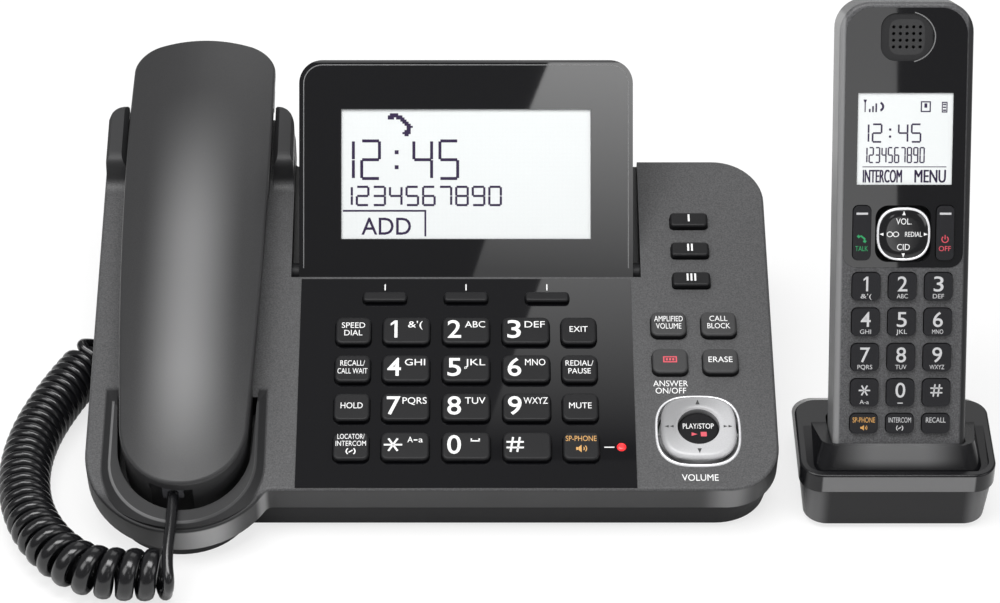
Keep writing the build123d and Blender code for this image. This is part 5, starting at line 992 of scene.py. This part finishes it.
# ---------------------------------------------------------------- legends of the cordless handset
MAT_PITCH = 13.15
CALL_KEY_X = 15.1
NAVIGATOR_Y = 87.9
ROCKER_TOP = 1.5
ink = Print(CORDLESS, MAT_FACE + INK)
for index, digit in enumerate("123456789*0#"):
    x = (index % 3 - 1) * MAT_PITCH
    y = 68.6 - (index // 3) * 13.1
    if digit == "*":
        for turn in (0, 60, 120):
            c, s = 2.1 * math.cos(math.radians(turn)), 2.1 * math.sin(math.radians(turn))
            ink.line((x - c, y + 0.9 - s), (x + c, y + 0.9 + s), 0.55)
        ink.word("A-a", x, y - 3.4, 1.5, 3.4)
    elif digit == "#":
        for shift in (-0.85, 0.85):
            ink.line((x - 0.3 + shift, y - 1.4), (x + 0.3 + shift, y + 3.2), 0.55)
            ink.line((x - 2.2, y + 0.9 + shift), (x + 2.2, y + 0.9 + shift), 0.55)
    else:
        if digit == "1":
            figure_one(ink, x + 0.3, y + 1.0, 5.4)
        else:
            ink.word(digit, x, y + 1.0, 5.4, 3.6, 0.005)
        if digit in LETTERS:
            ink.word(LETTERS[digit], x, y - 3.5, 1.6, 1.35 * len(LETTERS[digit]))
        else:
            ink.bar(x, y - 3.8, 2.0, 0.35)
for side in (-1, 1):
    ink.bar(side * CALL_KEY_X, 95.4, 4.2, 0.75)
ink.word("INTERCOM", 0, 19.2, 1.9, 8.2)
intercom_icon(ink, 0, 16.2, 2.6)
ink.word("RECALL", MAT_PITCH, 19.2, 1.9, 7.2)
ink.finish("legend_cordless", ink_grey, "cordless_handset")
ink = Print(CORDLESS, MAT_FACE + INK)
ink.word("SP-PHONE", -MAT_PITCH, 19.2, 1.9, 8.2)
speaker_icon(ink, -MAT_PITCH, 16.3, 2.6)
ink.finish("legend_cordless_speaker", ink_orange, "cordless_handset")
ink = Print(CORDLESS, MAT_FACE + INK)
receiver_icon(ink, -CALL_KEY_X, 86.2, 3.8, -38.0)
ink.word("TALK", -CALL_KEY_X, 82.6, 1.8, 4.6)
ink.finish("legend_talk", ink_green, "cordless_handset")
ink = Print(CORDLESS, MAT_FACE + INK)
ink.arc(CALL_KEY_X, 86.0, 1.15, 0.35, 125, 415, 14)
ink.bar(CALL_KEY_X, 86.8, 0.35, 1.6)
ink.word("OFF", CALL_KEY_X, 82.6, 1.8, 4.4)
ink.finish("legend_off", ink_red, "cordless_handset")
squircle_piece(
    "cordless_navigator_edge",
    CORDLESS,
    0.0,
    NAVIGATOR_Y,
    [(9.6, 2.6, -0.2), (9.75, 2.6, 0.9), (9.6, 2.6, 1.35), (9.3, 2.6, ROCKER_TOP),
     (9.0, 2.6, 1.45), (8.9, 2.6, 1.3)],
    trim_silver,
    "cordless_navigator",
)
face = squircle_piece(
    "cordless_navigator_face",
    CORDLESS,
    0.0,
    NAVIGATOR_Y,
    [(8.95, 2.6, 1.3), (8.8, 2.6, 1.45), (6.0, 2.4, ROCKER_TOP), (3.0, 2.2, ROCKER_TOP),
     (0.01, 2.0, ROCKER_TOP)],
    key_gloss,
    "cordless_navigator",
)
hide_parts("cordless_navigator_key")
ink = Print(CORDLESS, ROCKER_TOP + INK)
triangle(ink, 0, 95.6, 1.4, 90)
triangle(ink, 0, 80.2, 1.4, -90)
triangle(ink, -8.0, NAVIGATOR_Y, 1.3, 180)
triangle(ink, 8.0, NAVIGATOR_Y, 1.3, 0)
ink.word("VOL.", 0, 92.6, 2.2, 5.6)
ink.word("CID", 0, 83.2, 2.2, 4.6)
ink.word("REDIAL", 3.6, NAVIGATOR_Y, 1.8, 6.2)
for side in (-1, 1):
    ink.arc(-3.9 + side * 1.1, NAVIGATOR_Y, 1.0, 0.3, 0, 360, 12, 0.9)
ink.finish("legend_cordless_navigator", ink_white, "cordless_navigator")
# painted highlight: a grey arc on the right side of the earpiece's ring
ink = Print(CORDLESS, PANEL_FACE + INK)
ink.arc(0.0, EARPIECE_Y, 10.2, 0.4, -75, 75, 18, 0.9)
ink.finish("earpiece_ring_highlight", edge_highlight, "cordless_handset")

# ---------------------------------------------------------------- the cord as a piece
cord = tube("handset_cord", cord_line, WIRE, widths, cord_black)
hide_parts("curly_cord_coil", "curly_cord_leads")
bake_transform(cord)

# ---------------------------------------------------------------- floor, world and lights
FLOOR_HALF = 4.0
WHITE_SHARE = 0.75
floor_mesh = bpy.data.meshes.new("studio_floor")
floor_corners = [(x * FLOOR_HALF, y * FLOOR_HALF, 0) for x, y in ((-1, -1), (1, -1), (1, 1), (-1, 1))]
floor_mesh.from_pydata(floor_corners, [], [(0, 1, 2, 3)])
floor = bpy.data.objects.new("studio_floor", floor_mesh)
floor.location.z = -0.0002
scene.collection.objects.link(floor)
floor_look, tree, shader = material("studio_floor")
shader.inputs["Base Color"].default_value = (0.9, 0.9, 0.9, 1)
shader.inputs["Roughness"].default_value = 0.9
glow = tree.nodes.new("ShaderNodeEmission")
glow.inputs["Strength"].default_value = 1.0
seen = tree.nodes.new("ShaderNodeLightPath").outputs
either = math_node(tree, "MAXIMUM", seen["Is Camera Ray"], seen["Is Transmission Ray"])
mix = tree.nodes.new("ShaderNodeMixShader")
tree.links.new(math_node(tree, "MULTIPLY", either, WHITE_SHARE), mix.inputs["Fac"])
tree.links.new(shader.outputs["BSDF"], mix.inputs[1])
tree.links.new(glow.outputs["Emission"], mix.inputs[2])
tree.links.new(mix.outputs["Shader"], tree.nodes["Material Output"].inputs["Surface"])
floor_mesh.materials.append(floor_look)


def card(name, corners, low, high, strength):
    """Bright card seen only in gloss, in millimetres, its light changing between two places."""
    mesh = bpy.data.meshes.new(name)
    mesh.from_pydata([Vector(shade_diagonal) * MM for shade_diagonal in corners], [], [tuple(range(len(corners)))])
    made, tree, shader = material(name)
    tree.nodes.remove(shader)
    glow = tree.nodes.new("ShaderNodeEmission")
    place = tree.nodes.new("ShaderNodeTexCoord")
    dot = tree.nodes.new("ShaderNodeVectorMath")
    dot.operation = "DOT_PRODUCT"
    span = Vector(high) - Vector(low)
    dot.inputs[1].default_value = span / span.length_squared * 1000.0
    tree.links.new(place.outputs["Object"], dot.inputs[0])
    share = math_node(tree, "SUBTRACT", dot.outputs["Value"], Vector(low).dot(span) / span.length_squared)
    rise = tree.nodes.new("ShaderNodeMapRange")
    rise.inputs["To Min"].default_value = strength[0]
    rise.inputs["To Max"].default_value = strength[1]
    tree.links.new(share, rise.inputs["Value"])
    tree.links.new(rise.outputs["Result"], glow.inputs["Strength"])
    tree.links.new(glow.outputs["Emission"], tree.nodes["Material Output"].inputs["Surface"])
    mesh.materials.append(made)
    piece = bpy.data.objects.new(name, mesh)
    piece.visible_camera = False
    piece.visible_diffuse = False
    piece.visible_shadow = False
    piece.visible_transmission = False
    scene.collection.objects.link(piece)


card(
    "card_keypad",
    [(34.5, 545, 1300), (-20.0, 385, 1300), (115.0, 385, 1300), (115.0, 545, 1300)],
    (0, 395, 1300),
    (0, 531, 1300),
    (0.2, 2.4),
)
card(
    "card_display",
    [(36.0, -900, 1010), (20.3, -900, 959.5), (-24.3, -900, 789), (112.0, -900, 780), (112.0, -900, 1010)],
    (20, -900, 800),
    (40, -900, 1000),
    (1.4, 5.6),
)
card(
    "card_cordless",
    [(248.0, -900, 620), (234.5, -900, 300), (150.0, -900, 300), (150.0, -900, 620)],
    (200, -900, 340),
    (200, -900, 580),
    (2.6, 2.2),
)

world = bpy.data.worlds.new("studio")
scene.world = world
world.use_nodes = True
sky = world.node_tree.nodes["Background"]
sky.inputs["Color"].default_value = (1, 1, 1, 1)
sky.inputs["Strength"].default_value = 0.3


def lamp(name, place, target, size, power, height=None):
    """Area light aimed at a place, in metres."""
    data = bpy.data.lights.new(name, "AREA")
    data.energy = power
    data.size = size
    if height:
        data.shape = "RECTANGLE"
        data.size_y = height
    piece = bpy.data.objects.new(name, data)
    piece.location = place
    piece.rotation_euler = (Vector(target) - Vector(place)).to_track_quat("-Z", "Y").to_euler()
    scene.collection.objects.link(piece)
    return piece


lamp("overhead_light", (-0.1, -0.15, 1.3), (-0.05, 0, 0.05), 1.0, 15, 0.5)
lamp("key_light", (-0.9, -0.6, 1.2), (0, 0, 0.05), 0.8, 8)
lamp("fill_light", (1.2, -0.7, 1.0), (0, 0, 0.05), 0.8, 5)
lamp("rear_light", (0.2, 1.3, 1.0), (0, 0, 0.05), 1.0, 4)
